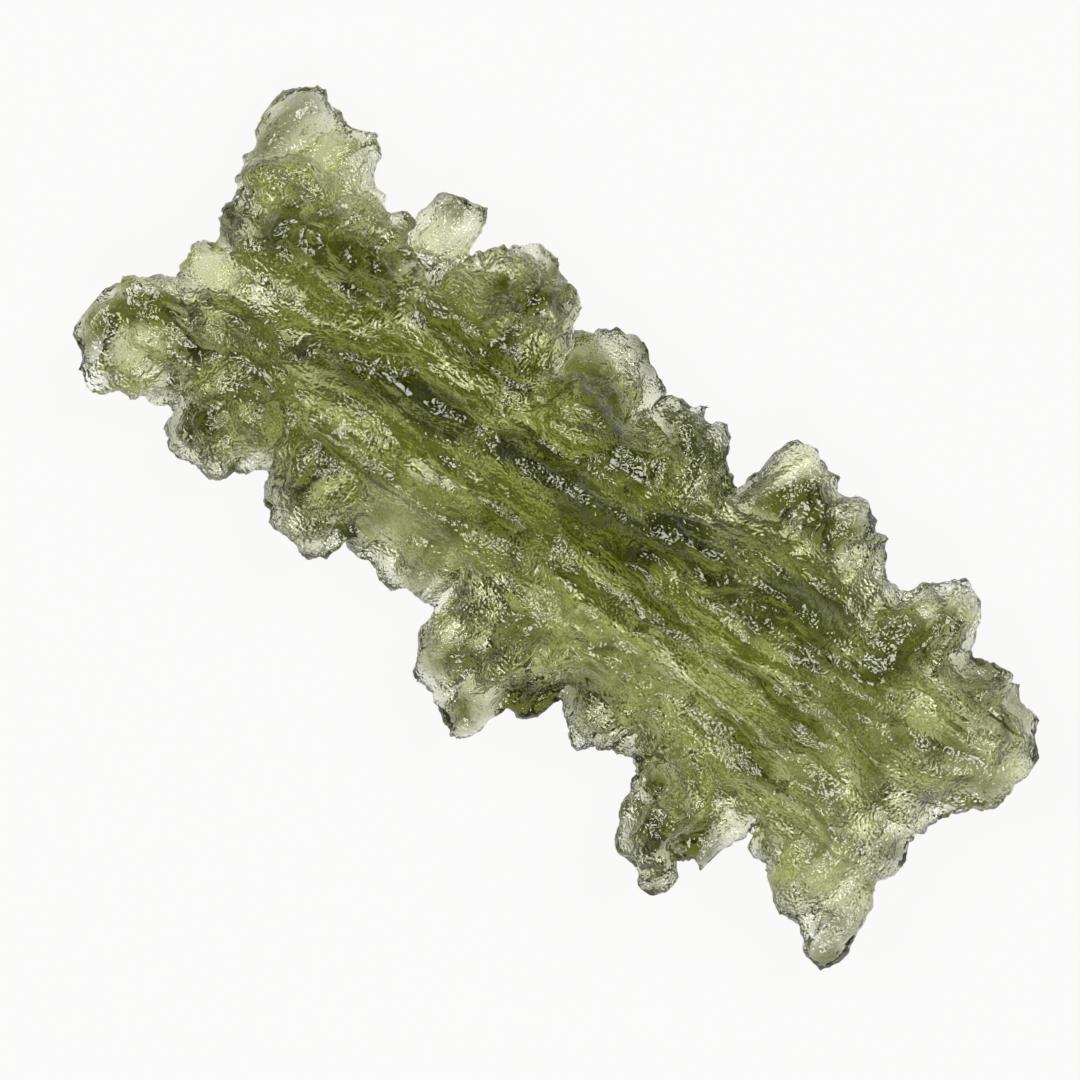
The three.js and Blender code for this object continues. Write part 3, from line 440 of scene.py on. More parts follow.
# Painted shade and painted light in the glass's colour. Painted shade, with its share of the darkest
# colour, stands where thick glass and light bent away make the glass look dark; painted light, whose
# share is below 0, takes painted shade away along lit ridges and thin parts.
PAINTED_SHADE_AND_LIGHT = (
    # painted shade over the body as a whole
    Trail(6.3, 0.56, ((-13.0, 1.0), (13.0, 0.8))),
    # painted light on the body's ridges
    Trail(1.0, -0.9, ((-16.8, 0.2), (-15.0, 0.2), (-13.0, 0.6), (-11.3, 1.4), (-9.5, 1.9), (-7.5, 2.4),
                      (-5.2, 2.4))),
    Trail(0.6, -0.5, ((-12.2, 0.1), (-11.5, 0.2))),
    Trail(0.7, -0.5, ((-7.0, -0.3), (-5.0, -0.1), (-3.4, 0.3), (-1.5, 0.3))),
    Trail(0.6, -0.5, ((-11.0, -1.8), (-9.0, -1.4), (-7.0, -1.1), (-6.0, -0.9))),
    Trail(0.5, -0.5, ((-17.0, 3.4), (-16.9, 1.8))),
    Trail(0.5, -0.4, ((-15.2, 4.2), (-14.7, 3.8))),
    Trail(0.5, -0.5, ((-2.8, 7.1), (-2.0, 7.1))),
    Trail(0.7, -0.4, ((-3.6, 3.4), (-2.5, 3.5))),
    Trail(0.5, -0.4, ((-4.9, 4.4), (-4.6, 4.2))),
    Trail(0.5, -0.4, ((-15.8, 2.0), (-13.2, 2.0))),
    Trail(0.5, -0.35, ((1.7, 2.8), (2.4, 3.6), (2.2, 4.6))),
    Trail(0.8, -0.9, ((4.0, 1.4), (5.5, 1.3), (6.9, 0.9))),
    Trail(0.6, -0.6, ((4.4, 3.4), (5.0, 3.3))),
    Trail(0.6, -0.6, ((6.3, 4.0), (6.4, 3.2))),
    Trail(0.5, -0.4, ((8.8, 1.1), (10.3, 1.3))),
    Trail(0.5, -0.4, ((8.8, 1.9), (8.9, 1.3))),
    Trail(0.7, -0.6, ((0.3, 2.6), (1.5, 2.9))),
    Trail(0.6, -0.4, ((8.0, 5.1), (10.0, 5.2))),
    Trail(0.7, -0.6, ((5.4, 4.8), (7.5, 4.9))),
    Trail(0.5, -0.35, ((14.7, 3.7), (15.5, 3.5))),
    Trail(0.6, -0.55, ((6.6, -0.8), (8.0, -0.7), (9.5, -0.5))),
    Trail(0.6, -0.5, ((1.8, -0.9), (3.6, -1.4), (3.0, -2.8))),
    Trail(0.5, -0.4, ((-0.3, -1.6), (0.3, -1.5))),
    Trail(0.7, -0.6, ((7.7, -3.0), (8.3, -1.9))),
    Trail(1.1, -1.0, ((9.8, -3.5), (11.7, -4.0))),
    Trail(0.6, -0.45, ((13.5, 0.2), (13.8, -0.2))),
    Trail(0.7, -0.7, ((15.8, 1.2), (16.6, 0.9))),
    Trail(0.8, -0.7, ((16.0, -1.3), (17.0, -0.6), (17.4, 0.4))),
    # painted light on parts of the blades
    Trail(0.5, -0.3, ((-17.4, 3.4), (-16.8, 3.6))),
    Trail(0.8, -0.8, ((-14.2, 5.6), (-11.8, 5.8))),
    Trail(0.8, -0.8, ((-9.8, 6.8), (-8.2, 7.3))),
    Trail(0.5, -0.45, ((-8.6, 4.9), (-7.6, 4.6))),
    Trail(0.5, -0.45, ((-5.2, 5.2), (-4.8, 4.6))),
    Trail(0.6, -0.5, ((-1.5, 6.2), (0.6, 5.1))),
    Trail(0.5, -0.5, ((9.6, 6.4), (11.0, 6.0))),
    Trail(0.7, -0.6, ((12.1, 6.8), (12.6, 6.4))),
    Trail(0.5, -0.3, ((5.0, 6.8), (5.2, 8.0))),
    Trail(1.1, -1.0, ((-1.9, -2.9), (-1.6, -4.0), (-0.8, -4.5))),
    Trail(0.6, -0.5, ((-8.2, -4.5), (-7.7, -4.1))),
    Trail(0.6, -0.5, ((-5.7, -4.8), (-5.1, -4.6))),
    # painted shade on parts of the upper blades
    Trail(0.7, 0.6, ((-18.4, 7.2), (-18.5, 4.8))),
    Trail(0.6, 0.6, ((-17.5, 2.0), (-17.5, 0.4))),
    Trail(0.7, 0.5, ((-16.6, 4.4), (-15.4, 4.2))),
    Trail(0.8, 1.0, ((-15.8, 2.3), (-14.6, 2.6), (-13.2, 3.2), (-11.8, 3.2))),
    Trail(0.6, 0.6, ((-11.2, 7.8), (-11.1, 7.5))),
    Trail(0.9, 0.8, ((-6.6, 7.9), (-6.1, 7.0))),
    Trail(0.8, 0.6, ((-7.6, 6.0), (-6.6, 6.1))),
    Trail(1.0, 0.7, ((-3.0, 5.6), (-1.8, 5.0))),
    Trail(0.9, 0.9, ((-2.1, 8.2), (-1.8, 7.7))),
    Trail(0.5, 0.4, ((0.9, 5.7), (1.2, 5.7))),
    Trail(0.6, 0.4, ((2.6, 6.0), (3.0, 5.9))),
    Trail(0.8, 0.8, ((5.4, 5.8), (6.2, 7.2), (7.4, 6.5))),
    Trail(0.7, 0.6, ((8.1, 6.2), (8.3, 7.4))),
    Trail(0.8, 0.7, ((10.0, 8.0), (10.0, 7.5))),
    Trail(0.8, 0.7, ((12.3, 5.3), (13.2, 5.8), (13.7, 6.6))),
    Trail(0.8, 0.6, ((12.9, 3.6), (13.2, 4.2))),
    Trail(0.8, 0.7, ((16.0, 6.2), (16.4, 5.7))),
    Trail(0.8, 0.6, ((17.9, 5.6), (18.2, 5.0))),
    # painted shade on parts of the body
    Trail(0.9, 0.8, ((-8.6, 3.5), (-7.0, 3.2), (-6.2, 4.0), (-5.6, 3.4))),
    Trail(0.7, 0.5, ((-7.1, 2.8), (-6.7, 2.5))),
    Trail(0.7, 0.6, ((-10.0, 0.2), (-8.0, 0.7))),
    Trail(0.8, 1.6, ((-7.2, 0.8), (-6.4, 0.9))),
    Trail(0.5, 0.3, ((-12.2, -0.8), (-11.6, -0.6))),
    Trail(0.8, 0.7, ((-3.7, 1.6), (-1.2, 1.6))),
    Trail(1.0, 1.3, ((0.2, 1.1), (1.0, 1.1), (2.4, 1.3))),
    Trail(0.9, 0.8, ((-0.4, 3.8), (0.9, 4.0))),
    Trail(0.9, 1.6, ((3.2, 2.4), (3.9, 2.5))),
    Trail(0.7, 1.0, ((5.0, 2.7), (6.0, 2.2))),
    Trail(0.6, 0.5, ((3.4, 4.2), (3.8, 3.4))),
    Trail(1.0, 0.7, ((7.8, 3.0), (8.4, 4.0), (9.4, 4.4))),
    Trail(0.7, 0.4, ((7.8, 2.2), (8.0, 1.7))),
    Trail(0.6, 0.4, ((9.8, 0.3), (10.8, 0.4))),
    Trail(0.7, 0.7, ((10.2, 2.3), (10.4, 2.0))),
    Trail(0.6, 0.5, ((12.4, 0.5), (15.0, 0.4))),
    Trail(0.6, 0.5, ((15.2, 1.6), (16.2, 1.8))),
    Trail(0.8, 0.6, ((16.8, 3.0), (18.8, 2.8))),
    Trail(0.7, 0.4, ((-1.7, -1.4), (-1.2, -1.4))),
    Trail(0.6, 0.5, ((3.7, -0.2), (6.0, -0.2))),
    Trail(0.8, 0.5, ((-3.8, -3.0), (-3.2, -1.8), (-2.6, -1.1))),
    Trail(0.6, 0.3, ((-5.2, -1.5), (-5.0, -2.2))),
    Trail(0.6, 0.5, ((-3.6, -4.4), (-3.3, -4.4))),
    Trail(0.8, 0.5, ((-9.4, -1.2), (-9.2, -3.4))),
    Trail(0.8, 0.6, ((8.3, -1.8), (9.4, -2.0), (11.4, -2.3))),
    Trail(0.5, 0.4, ((13.6, -1.5), (14.0, -1.4))),
    # painted shade on parts of the lower blades
    Trail(0.7, 0.5, ((-14.8, -1.2), (-13.8, -1.3))),
    Trail(0.7, 0.5, ((-16.4, -3.8), (-15.8, -3.2))),
    Trail(0.8, 0.4, ((-12.9, -2.3), (-12.1, -3.1))),
    Trail(0.9, 0.9, ((-18.6, -2.9), (-17.8, -2.5))),
    Trail(0.6, 0.5, ((-15.0, 0.1), (-14.7, -0.5))),
    Trail(0.6, 0.7, ((-19.4, -4.1), (-18.9, -3.9))),
    Trail(0.6, 0.8, ((-19.3, -6.2), (-19.3, -4.8))),
    Trail(0.8, 0.5, ((-14.0, -4.7), (-13.2, -4.7))),
    Trail(0.7, 0.6, ((-14.4, -6.2), (-14.2, -5.8))),
    Trail(0.7, 0.6, ((-9.8, -5.0), (-9.3, -4.7))),
    Trail(0.6, 0.6, ((-7.2, -2.6), (-6.7, -2.4))),
    Trail(0.6, 0.5, ((-6.5, -4.6), (-6.0, -3.7))),
    Trail(0.8, 0.9, ((-0.9, -6.2), (-0.4, -5.9))),
    Trail(0.8, 0.7, ((0.8, -4.8), (1.0, -3.8))),
    Trail(0.6, 0.7, ((1.0, -8.0), (1.0, -7.5))),
    Trail(1.0, 1.0, ((2.5, -6.2), (3.3, -5.8))),
    Trail(0.8, 0.5, ((4.4, -4.4), (3.4, -2.3))),
    Trail(0.9, 0.8, ((8.0, -5.3), (9.4, -5.1))),
    Trail(1.0, 0.8, ((10.0, -7.0), (11.4, -6.3), (11.1, -5.7))),
    Trail(0.8, 0.6, ((10.8, -8.9), (11.2, -8.7))),
    Trail(0.6, 0.5, ((17.5, -5.3), (17.8, -4.9))),
    Trail(0.9, 0.8, ((18.2, -6.9), (18.2, -6.5))),
    Trail(0.6, 0.5, ((17.2, -1.5), (17.6, -1.6))),
    Trail(0.8, 0.4, ((15.3, -3.2), (16.0, -2.8))),
)


@dataclass(frozen=True)
class EtchedGlass:
    """Clear green natural glass with an etched, wrinkled gloss.

    Attributes:
        refraction: Index of refraction.
        absorption: How much red, green and blue light one mm of the glass takes, as a rate.
        grain: (size, depth) in mm of the fine glittering grain.
        patch: The size in mm of the patches where the grain is deep or shallow.
        calm: The share of the grain's depth that is left where it is shallow.
        patch_edge: The values of the patches' noise from which the grain deepens, and where it is whole.
        grain_by_painted_shade: Two pairs (painted shade, share of the grain's depth), between which the
            share changes.
        polish: Roughness of the gloss.
        clear: The color of the light that glass without painted shade lets through its surface.
        painted_shade_end: The same where the painted shade is darkest.
    """

    refraction: float = 1.49
    absorption: tuple[float, float, float] = (0.165, 0.15, 0.37)
    grain: tuple[float, float] = (0.13, 0.04)
    patch: float = 1.3
    calm: float = 0.45
    patch_edge: tuple[float, float] = (-0.4, 0.3)
    grain_by_painted_shade: tuple[tuple[float, float], tuple[float, float]] = ((0.1, 1.2), (1.1, 0.6))
    polish: float = 0.06
    clear: tuple[float, float, float] = (1.0, 1.0, 1.0)
    painted_shade_end: tuple[float, float, float] = (0.15, 0.165, 0.03)

    def material(self) -> bpy.types.Material:
        """Makes the glass's material.

        Returns:
            The material.
        """
        material = bpy.data.materials.new("etched_green_glass")
        material.use_nodes = True
        graph = Graph(material.node_tree)
        surface = material.node_tree.nodes["Principled BSDF"].inputs
        # the points carry painted shade, which darkens the colour where the glass should look dark, less
        # where painted light takes it away
        tint = graph.node("ShaderNodeAttribute", settings={"attribute_name": "tint"}).outputs["Fac"]
        graph.put(surface["Base Color"], self.color(graph, tint))
        graph.put(surface["Normal"], self.glitter(graph, tint))
        surface["Roughness"].default_value = self.polish
        surface["IOR"].default_value = self.refraction
        surface["Transmission Weight"].default_value = 1.0
        rates = np.array(self.absorption) / MM
        density = float(rates.max()) * ABSORPTION_ROOM
        body = graph.node("ShaderNodeVolumeAbsorption", (*(1 - rates / density).tolist(), 1), density)
        graph.put(material.node_tree.nodes["Material Output"].inputs["Volume"], body.outputs[0])
        return material

    def color(self, graph: Graph, tint: Link) -> Link:
        """Adds the nodes that color the glass.

        Args:
            graph: Where the nodes go.
            tint: How much painted shade the glass's colour has: 0 is none, and 1 is the darkest.

        Returns:
            The color.
        """
        colors = graph.node("ShaderNodeMix", settings={"data_type": "RGBA"})
        ends = [(*color, 1.0) for color in (self.clear, self.painted_shade_end)]
        for socket, value in zip((colors.inputs[0], *colors.inputs[6:8]), (tint, *ends)):
            graph.put(socket, value)
        return colors.outputs[2]

    def glitter(self, graph: Graph, tint: Link) -> Link:
        """Adds the nodes of the fine grain, which lies in patches and is shallower where the colour has
        more painted shade.

        Args:
            graph: Where the nodes go.
            tint: How much painted shade the glass's colour has: 0 is none, and 1 is the darkest.

        Returns:
            The surface's normal.
        """
        place = graph.scaled(graph.node("ShaderNodeTexCoord").outputs["Object"], 1 / MM)
        size, depth = self.grain
        height = graph.math("MULTIPLY", graph.noise(place, size, detail=0.0), depth * MM)
        patches = graph.noise(place, self.patch, detail=1.0)
        strength = graph.ramp(patches, *self.patch_edge, self.calm, 1.0)
        (pale, most), (painted_shade_end, least) = self.grain_by_painted_shade
        strength = graph.math("MULTIPLY", strength, graph.ramp(tint, pale, painted_shade_end, most, least))
        return graph.node("ShaderNodeBump", Strength=strength, Distance=1.0, Height=height).outputs[0]


@dataclass
class Layer:
    """A Geometry Nodes tree that works on the stone's surface, with every size in mm.

    Attributes:
        stretch: How many times longer than wide each mark is, along the glass's flow.
        steep_share: How many times deeper the marks are on walls and rims than on level glass.
        seed: Which of many like patterns is used.
    """

    stretch: float = 1.8
    steep_share: float = 1.0
    seed: int = 4

    def inputs(self) -> dict[str, float | int]:
        """Returns the tree's named inputs and their values."""
        return {"Stretch": self.stretch, "Steep Share": self.steep_share, "Seed": self.seed}

    def shaped(self, graph: Graph, given: Sockets, shape: Link) -> Link:
        """Adds the nodes that shape the geometry.

        Args:
            graph: Where the nodes go.
            given: The tree's inputs.
            shape: The geometry as it comes in.

        Returns:
            The shaped geometry.
        """
        raise NotImplementedError

    def tree(self) -> bpy.types.NodeTree:
        """Builds the tree.

        Returns:
            The tree.
        """
        tree = bpy.data.node_groups.new(type(self).__name__, "GeometryNodeTree")
        sockets = {"Geometry": "NodeSocketGeometry", "Material": "NodeSocketMaterial"}
        for name, value in self.inputs().items():
            sockets[name] = "NodeSocketInt" if isinstance(value, int) else "NodeSocketFloat"
        for name, kind in sockets.items():
            tree.interface.new_socket(name, in_out="INPUT", socket_type=kind)
        tree.interface.new_socket("Geometry", in_out="OUTPUT", socket_type="NodeSocketGeometry")
        graph = Graph(tree)
        given = graph.node("NodeGroupInput").outputs
        shape = self.shaped(graph, given, given["Geometry"])
        whole = graph.node("GeometryNodeRealizeInstances", shape).outputs[0]
        smooth = graph.node("GeometryNodeSetShadeSmooth", Geometry=whole).outputs[0]
        dressed = graph.node("GeometryNodeSetMaterial", Geometry=smooth, Material=given["Material"])
        graph.node("NodeGroupOutput", dressed.outputs[0])
        return tree

    def marked(self, graph: Graph, given: Sockets, shape: Link, marks: tuple[Mark, ...]) -> Link:
        """Moves a surface along its normal by the sum of some marks.

        Args:
            graph: Where the nodes go.
            given: The tree's inputs.
            shape: The geometry.
            marks: Each mark's pattern, size input, depth input and level, which is added to it.

        Returns:
            The marked geometry.
        """
        place = graph.scaled(graph.node("GeometryNodeInputPosition").outputs[0], 1 / MM)
        shift = graph.scaled((*SEED_SHIFT, 0.0), given["Seed"])
        outwards = flow_mask(graph, place)
        place = graph.vector("ADD", place, shift)
        rise = 0.0
        for pattern, size, depth, level in marks:
            value = stretched(graph, place, given["Stretch"], outwards, given[size], pattern)
            rise = graph.math("MULTIPLY_ADD", graph.math("ADD", value, level), given[depth], rise)
        normal = graph.node("GeometryNodeInputNormal").outputs[0]
        up = graph.math("ABSOLUTE", graph.node("ShaderNodeSeparateXYZ", normal).outputs[2])
        rise = graph.math("MULTIPLY", rise, graph.ramp(up, 0.0, LEVEL_FROM, given["Steep Share"], 1.0))
        offset = graph.scaled(normal, graph.math("MULTIPLY", rise, MM))
        return graph.node("GeometryNodeSetPosition", Geometry=shape, Offset=offset).outputs[0]


@dataclass
class Forming(Layer):
    """Evens the faceted solid out, and gives it its rims, ribs, hollows and lumps.

    Attributes:
        smoothing: How many times the surface is evened out.
        swell: (size, depth) of the lumps.
        rims: For each side, the height of the surface beside the outline: at the rim, how much
            it rises per mm inwards, and how much that steepens.
    """

    smoothing: int = 6
    swell: tuple[float, float] = (2.3, 0.5)
    rims: tuple[tuple[float, float, float], ...] = ((0.18, 1.2, 0.3), (0.2, 0.3, 0.1))

    def inputs(self) -> dict[str, float | int]:
        """Names the tree's inputs.

        Returns:
            The inputs' names and their values.
        """
        rims = {f"{side.name.title()} Rim {part}": value for side, values in zip(Side, self.rims)
                for part, value in zip(RIM_PARTS, values)}
        return super().inputs() | rims | {"Smoothing": self.smoothing, "Swell Size": self.swell[0],
                                          "Swell Depth": self.swell[1]}

    def shaped(self, graph: Graph, given: Sockets, shape: Link) -> Link:
        """Adds the nodes that shape the geometry.

        Args:
            graph: Where the nodes go.
            given: The tree's inputs.
            shape: The geometry as it comes in.

        Returns:
            The shaped geometry.
        """
        position = graph.node("GeometryNodeInputPosition").outputs[0]
        even = graph.node("GeometryNodeBlurAttribute", settings={"data_type": "FLOAT_VECTOR"})
        graph.put(even.inputs["Value"], position)
        graph.put(even.inputs["Iterations"], given["Smoothing"])
        shape = graph.node("GeometryNodeSetPosition", Geometry=shape,
                           Position=even.outputs["Value"]).outputs[0]
        shape = self.rimmed(graph, given, shape)
        shape = self.raised(graph, shape)
        return self.marked(graph, given, shape, ((Graph.dishes, "Swell Size", "Swell Depth", 0.5),))

    def rimmed(self, graph: Graph, given: Sockets, shape: Link) -> Link:
        """Draws the surface in beside the outline, so that the glass ends in thin clear rims.

        Args:
            graph: Where the nodes go.
            given: The tree's inputs.
            shape: The geometry.

        Returns:
            The geometry with its rims.
        """
        place = graph.node("GeometryNodeInputPosition").outputs[0]
        flat = graph.vector("MULTIPLY", place, FLAT)
        height = graph.node("ShaderNodeSeparateXYZ", place).outputs[2]
        rim = self.outline(graph, shape)
        nearest = graph.node("GeometryNodeSampleNearest", rim, flat).outputs[0]
        level = graph.sample("FLOAT", rim, graph.stored("FLOAT", "level"), nearest)
        offset = graph.vector("SUBTRACT", flat, graph.sample("FLOAT_VECTOR", rim, place, nearest))
        inwards = graph.math("DIVIDE", graph.length(offset), MM)
        for side in Side:
            start, slope, bend = (given[f"{side.name.title()} Rim {part}"] for part in RIM_PARTS)
            room = graph.math("MULTIPLY_ADD", graph.math("MULTIPLY_ADD", inwards, bend, slope), inwards,
                              start)
            limit = graph.math("MULTIPLY_ADD", room, side.value * MM, level)
            height = graph.math("MINIMUM" if side is Side.UPPER else "MAXIMUM", height, limit)
        x, y = graph.node("ShaderNodeSeparateXYZ", place).outputs[:2]
        moved = graph.node("ShaderNodeCombineXYZ", x, y, height).outputs[0]
        return graph.node("GeometryNodeSetPosition", Geometry=shape, Position=moved).outputs[0]

    def outline(self, graph: Graph, shape: Link) -> Link:
        """Finds the outline of a shape seen from above.

        Args:
            graph: Where the nodes go.
            shape: The geometry.

        Returns:
            The outline laid flat, whose points keep their height above the table as "level".
        """
        place = graph.node("GeometryNodeInputPosition").outputs[0]
        normal = graph.node("GeometryNodeInputNormal").outputs[0]
        upwards = graph.math("GREATER_THAN", graph.node("ShaderNodeSeparateXYZ", normal).outputs[2], 0.0)
        kept = graph.node("GeometryNodeStoreNamedAttribute", shape, None, "facing",
                          settings={"data_type": "FLOAT_VECTOR"})
        graph.put(kept.inputs["Value"], normal)
        upper = graph.node("GeometryNodeSeparateGeometry", kept.outputs[0], upwards,
                           settings={"domain": "FACE"}).outputs[0]
        # an edge with a single face lies where the faces that look up end
        faces = graph.node("GeometryNodeInputMeshEdgeNeighbors").outputs[0]
        edges = graph.node("GeometryNodeSeparateGeometry", upper, graph.math("LESS_THAN", faces, 1.5),
                           settings={"domain": "EDGE"}).outputs[0]
        outwards = graph.vector("MULTIPLY", graph.stored("FLOAT_VECTOR", "facing"), FLAT)
        beside = graph.scaled(graph.vector("NORMALIZE", outwards), BESIDE_RIM * MM)
        ray = graph.node("GeometryNodeRaycast", shape)
        graph.put(ray.inputs["Source Position"],
                  graph.vector("ADD", graph.vector("ADD", place, beside), (0.0, 0.0, ABOVE_ALL * MM)))
        graph.put(ray.inputs["Ray Direction"], (0.0, 0.0, -1.0))
        free = graph.math("LESS_THAN", ray.outputs["Is Hit"], 0.5)
        outer = graph.node("GeometryNodeSeparateGeometry", edges, free).outputs[0]
        level = graph.node("GeometryNodeStoreNamedAttribute", outer, None, "level")
        graph.put(level.inputs["Value"], graph.node("ShaderNodeSeparateXYZ", place).outputs[2])
        flat = graph.vector("MULTIPLY", place, FLAT)
        return graph.node("GeometryNodeSetPosition", Geometry=level.outputs[0], Position=flat).outputs[0]

    def raised(self, graph: Graph, shape: Link) -> Link:
        """Raises each side by what its points carry: the upper side's "rib", the lower one's "hollow".

        Args:
            graph: Where the nodes go.
            shape: The geometry.

        Returns:
            The raised geometry.
        """
        normal = graph.node("GeometryNodeInputNormal").outputs[0]
        up = graph.node("ShaderNodeSeparateXYZ", normal).outputs[2]
        rise = 0.0
        for side, name in ((Side.UPPER, "rib"), (Side.LOWER, "hollow")):
            facing = graph.ramp(graph.math("MULTIPLY", up, side.value), *FACING)
            rise = graph.math("MULTIPLY_ADD", facing, graph.stored("FLOAT", name), rise)
        lift = graph.node("ShaderNodeCombineXYZ", 0.0, 0.0, graph.math("MULTIPLY", rise, MM)).outputs[0]
        return graph.node("GeometryNodeSetPosition", Geometry=shape, Offset=lift).outputs[0]


@dataclass
class Etching(Layer):
    """Etches the formed surface with small dishes and folds.

    Attributes:
        dish: (size, depth) of the dishes.
        crumple: (size, depth) of the small folds.
    """

    stretch: float = 2.3
    steep_share: float = 1.8
    dish: tuple[float, float] = (1.0, 0.28)
    crumple: tuple[float, float] = (0.42, 0.18)

    def inputs(self) -> dict[str, float | int]:
        """Returns the tree's named inputs and their values."""
        return super().inputs() | {"Dish Size": self.dish[0], "Dish Depth": self.dish[1],
                                   "Crumple Size": self.crumple[0], "Crumple Depth": self.crumple[1]}

    def shaped(self, graph: Graph, given: Sockets, shape: Link) -> Link:
        """Adds the nodes that shape the geometry.

        Args:
            graph: Where the nodes go.
            given: The tree's inputs.
            shape: The geometry as it comes in.

        Returns:
            The shaped geometry.
        """
        return self.marked(graph, given, shape, (
            (Graph.dishes, "Dish Size", "Dish Depth", 0.5),
            (Graph.folds, "Crumple Size", "Crumple Depth", 0.0),
        ))


@dataclass
class Stone:
    """The stone itself, one closed piece of glass.

    Attributes:
        node: The solid that gives its form.
        voxels: The length of a face's edge in mm, while it is formed and at the end.
        glass: Its finish.
        forming: Its rims, ribs, hollows and lumps.
        etching: Its fine surface.
        ribs: The ridges and furrows of its upper side.
        hollows: The hollows of its underside.
        shade_and_light_paint: Where painted shade darkens its colour, and where painted light takes that
            away.
        contrast: The painted shade that a furrow one mm deep adds, and the painted light that a ridge one
            mm high adds.
    """

    node: str = "moldavite"
    voxels: tuple[float, float] = (0.19, 0.165)
    glass: EtchedGlass = field(default_factory=EtchedGlass)
    forming: Forming = field(default_factory=Forming)
    etching: Etching = field(default_factory=Etching)
    ribs: tuple[Trail, ...] = RIBS
    hollows: tuple[Trail, ...] = HOLLOWS
    shade_and_light_paint: tuple[Trail, ...] = PAINTED_SHADE_AND_LIGHT
    contrast: float = 0.8

    def build(self) -> bpy.types.Object:
        """Builds and dresses the stone.

        Returns:
            Its object.
        """
        stone = self.copied()
        finish = self.glass.material()
        coarse, fine = self.voxels
        self.remesh(stone, coarse)
        self.mark(stone.data, "rib", self.ribs, Crest.SHARP)
        self.mark(stone.data, "hollow", self.hollows, Crest.ROUND)
        self.lay(stone, self.forming, finish)
        self.remesh(stone, fine)
        self.lay(stone, self.etching, finish)
        # painted shade in the furrows and painted light on the ridges, from the ribs' heights
        painted_rib_shades = tuple(replace(rib, amount=-self.contrast * rib.amount) for rib in self.ribs)
        self.mark(stone.data, "tint", self.shade_and_light_paint + painted_rib_shades, Crest.BROAD)
        self.rest(stone.data)
        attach(stone, "root")
        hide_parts(self.node)
        LOG.info("%s: %d faces", stone.name, len(stone.data.polygons))
        return stone

    def copied(self) -> bpy.types.Object:
        """Makes a plain copy of the solid, with its faces joined.

        Returns:
            The copy's object.
        """
        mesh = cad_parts[self.node].data.copy()
        mesh.materials.clear()
        for name in [attribute.name for attribute in mesh.color_attributes]:
            mesh.color_attributes.remove(mesh.color_attributes[name])
        merging = bmesh.new()
        merging.from_mesh(mesh)
        bmesh.ops.remove_doubles(merging, verts=merging.verts, dist=MERGE_REACH * MM)
        merging.to_mesh(mesh)
        merging.free()
        stone = bpy.data.objects.new("etched_stone", mesh)
        bpy.context.scene.collection.objects.link(stone)
        return stone

    def remesh(self, stone: bpy.types.Object, voxel: float) -> None:
        """Gives the stone even faces.

        Args:
            stone: The stone.
            voxel: The length of a face's edge in mm.
        """
        modifier = stone.modifiers.new("even_faces", "REMESH")
        modifier.mode = "VOXEL"
        modifier.voxel_size = voxel * MM
        self.apply(stone)

    def apply(self, stone: bpy.types.Object) -> None:
        """Turns what the stone's modifiers make into its plain mesh.

        Args:
            stone: The stone.
        """
        bpy.context.view_layer.update()
        evaluated = stone.evaluated_get(bpy.context.evaluated_depsgraph_get())
        mesh = bpy.data.meshes.new_from_object(evaluated)
        stone.modifiers.clear()
        stone.data = mesh

    def mark(self, mesh: bpy.types.Mesh, name: str, trails: tuple[Trail, ...], crest: Crest) -> None:
        """Gives each point of a mesh the sum of some trails there.

        Args:
            mesh: The mesh.
            name: The name under which its points carry the sum.
            trails: What is summed.
            crest: How round the trails are across.
        """
        places = np.empty(len(mesh.vertices) * 3)
        mesh.vertices.foreach_get("co", places)
        values = summed(trails, places.reshape(-1, 3)[:, :2] / MM, crest)
        attribute = mesh.attributes.new(name, "FLOAT", "POINT")
        attribute.data.foreach_set("value", values.astype(np.float32))

    def lay(self, stone: bpy.types.Object, layer: Layer, finish: bpy.types.Material) -> None:
        """Works the stone's surface with a layer, and replaces its mesh.

        Args:
            stone: The evenly faced stone.
            layer: What is done to its surface.
            finish: The material that it gets.
        """
        modifier = stone.modifiers.new("layer", "NODES")
        modifier.node_group = layer.tree()
        values = layer.inputs() | {"Material": finish}
        for item in modifier.node_group.interface.items_tree:
            if item.in_out == "INPUT" and item.name in values:
                modifier[item.identifier] = values[item.name]
        self.apply(stone)

    def rest(self, mesh: bpy.types.Mesh) -> None:
        """Keeps a mesh within the solid's box, so that its lowest points lie on the table.

        Args:
            mesh: The stone's mesh.
        """
        low, high = (np.array(corner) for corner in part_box(self.node))
        places = np.empty(len(mesh.vertices) * 3)
        mesh.vertices.foreach_get("co", places)
        mesh.vertices.foreach_set("co", np.clip(places.reshape(-1, 3), low, high).ravel())
        mesh.update()


@dataclass(frozen=True)
class PaleTop:
    """The table's finish: an even pale white that casts no gloss.

    Attributes:
        color: What it gives back of the light on it.
        roughness: How matt it is.
        glow_color: The color of its own light.
        glow: How bright that light is.
    """

    color: tuple[float, float, float] = (0.02, 0.02, 0.02)
    roughness: float = 0.9
    glow_color: tuple[float, float, float] = (1.0, 1.0, 0.995)
    glow: float = 0.92

    def material(self) -> bpy.types.Material:
        """Makes the table's material.

        Returns:
            The material.
        """
        material = bpy.data.materials.new("pale_table")
        material.use_nodes = True
        surface = material.node_tree.nodes["Principled BSDF"].inputs
        surface["Base Color"].default_value = (*self.color, 1)
        surface["Roughness"].default_value = self.roughness
        surface["Specular IOR Level"].default_value = 0.0
        surface["Emission Color"].default_value = (*self.glow_color, 1)
        surface["Emission Strength"].default_value = self.glow
        return material


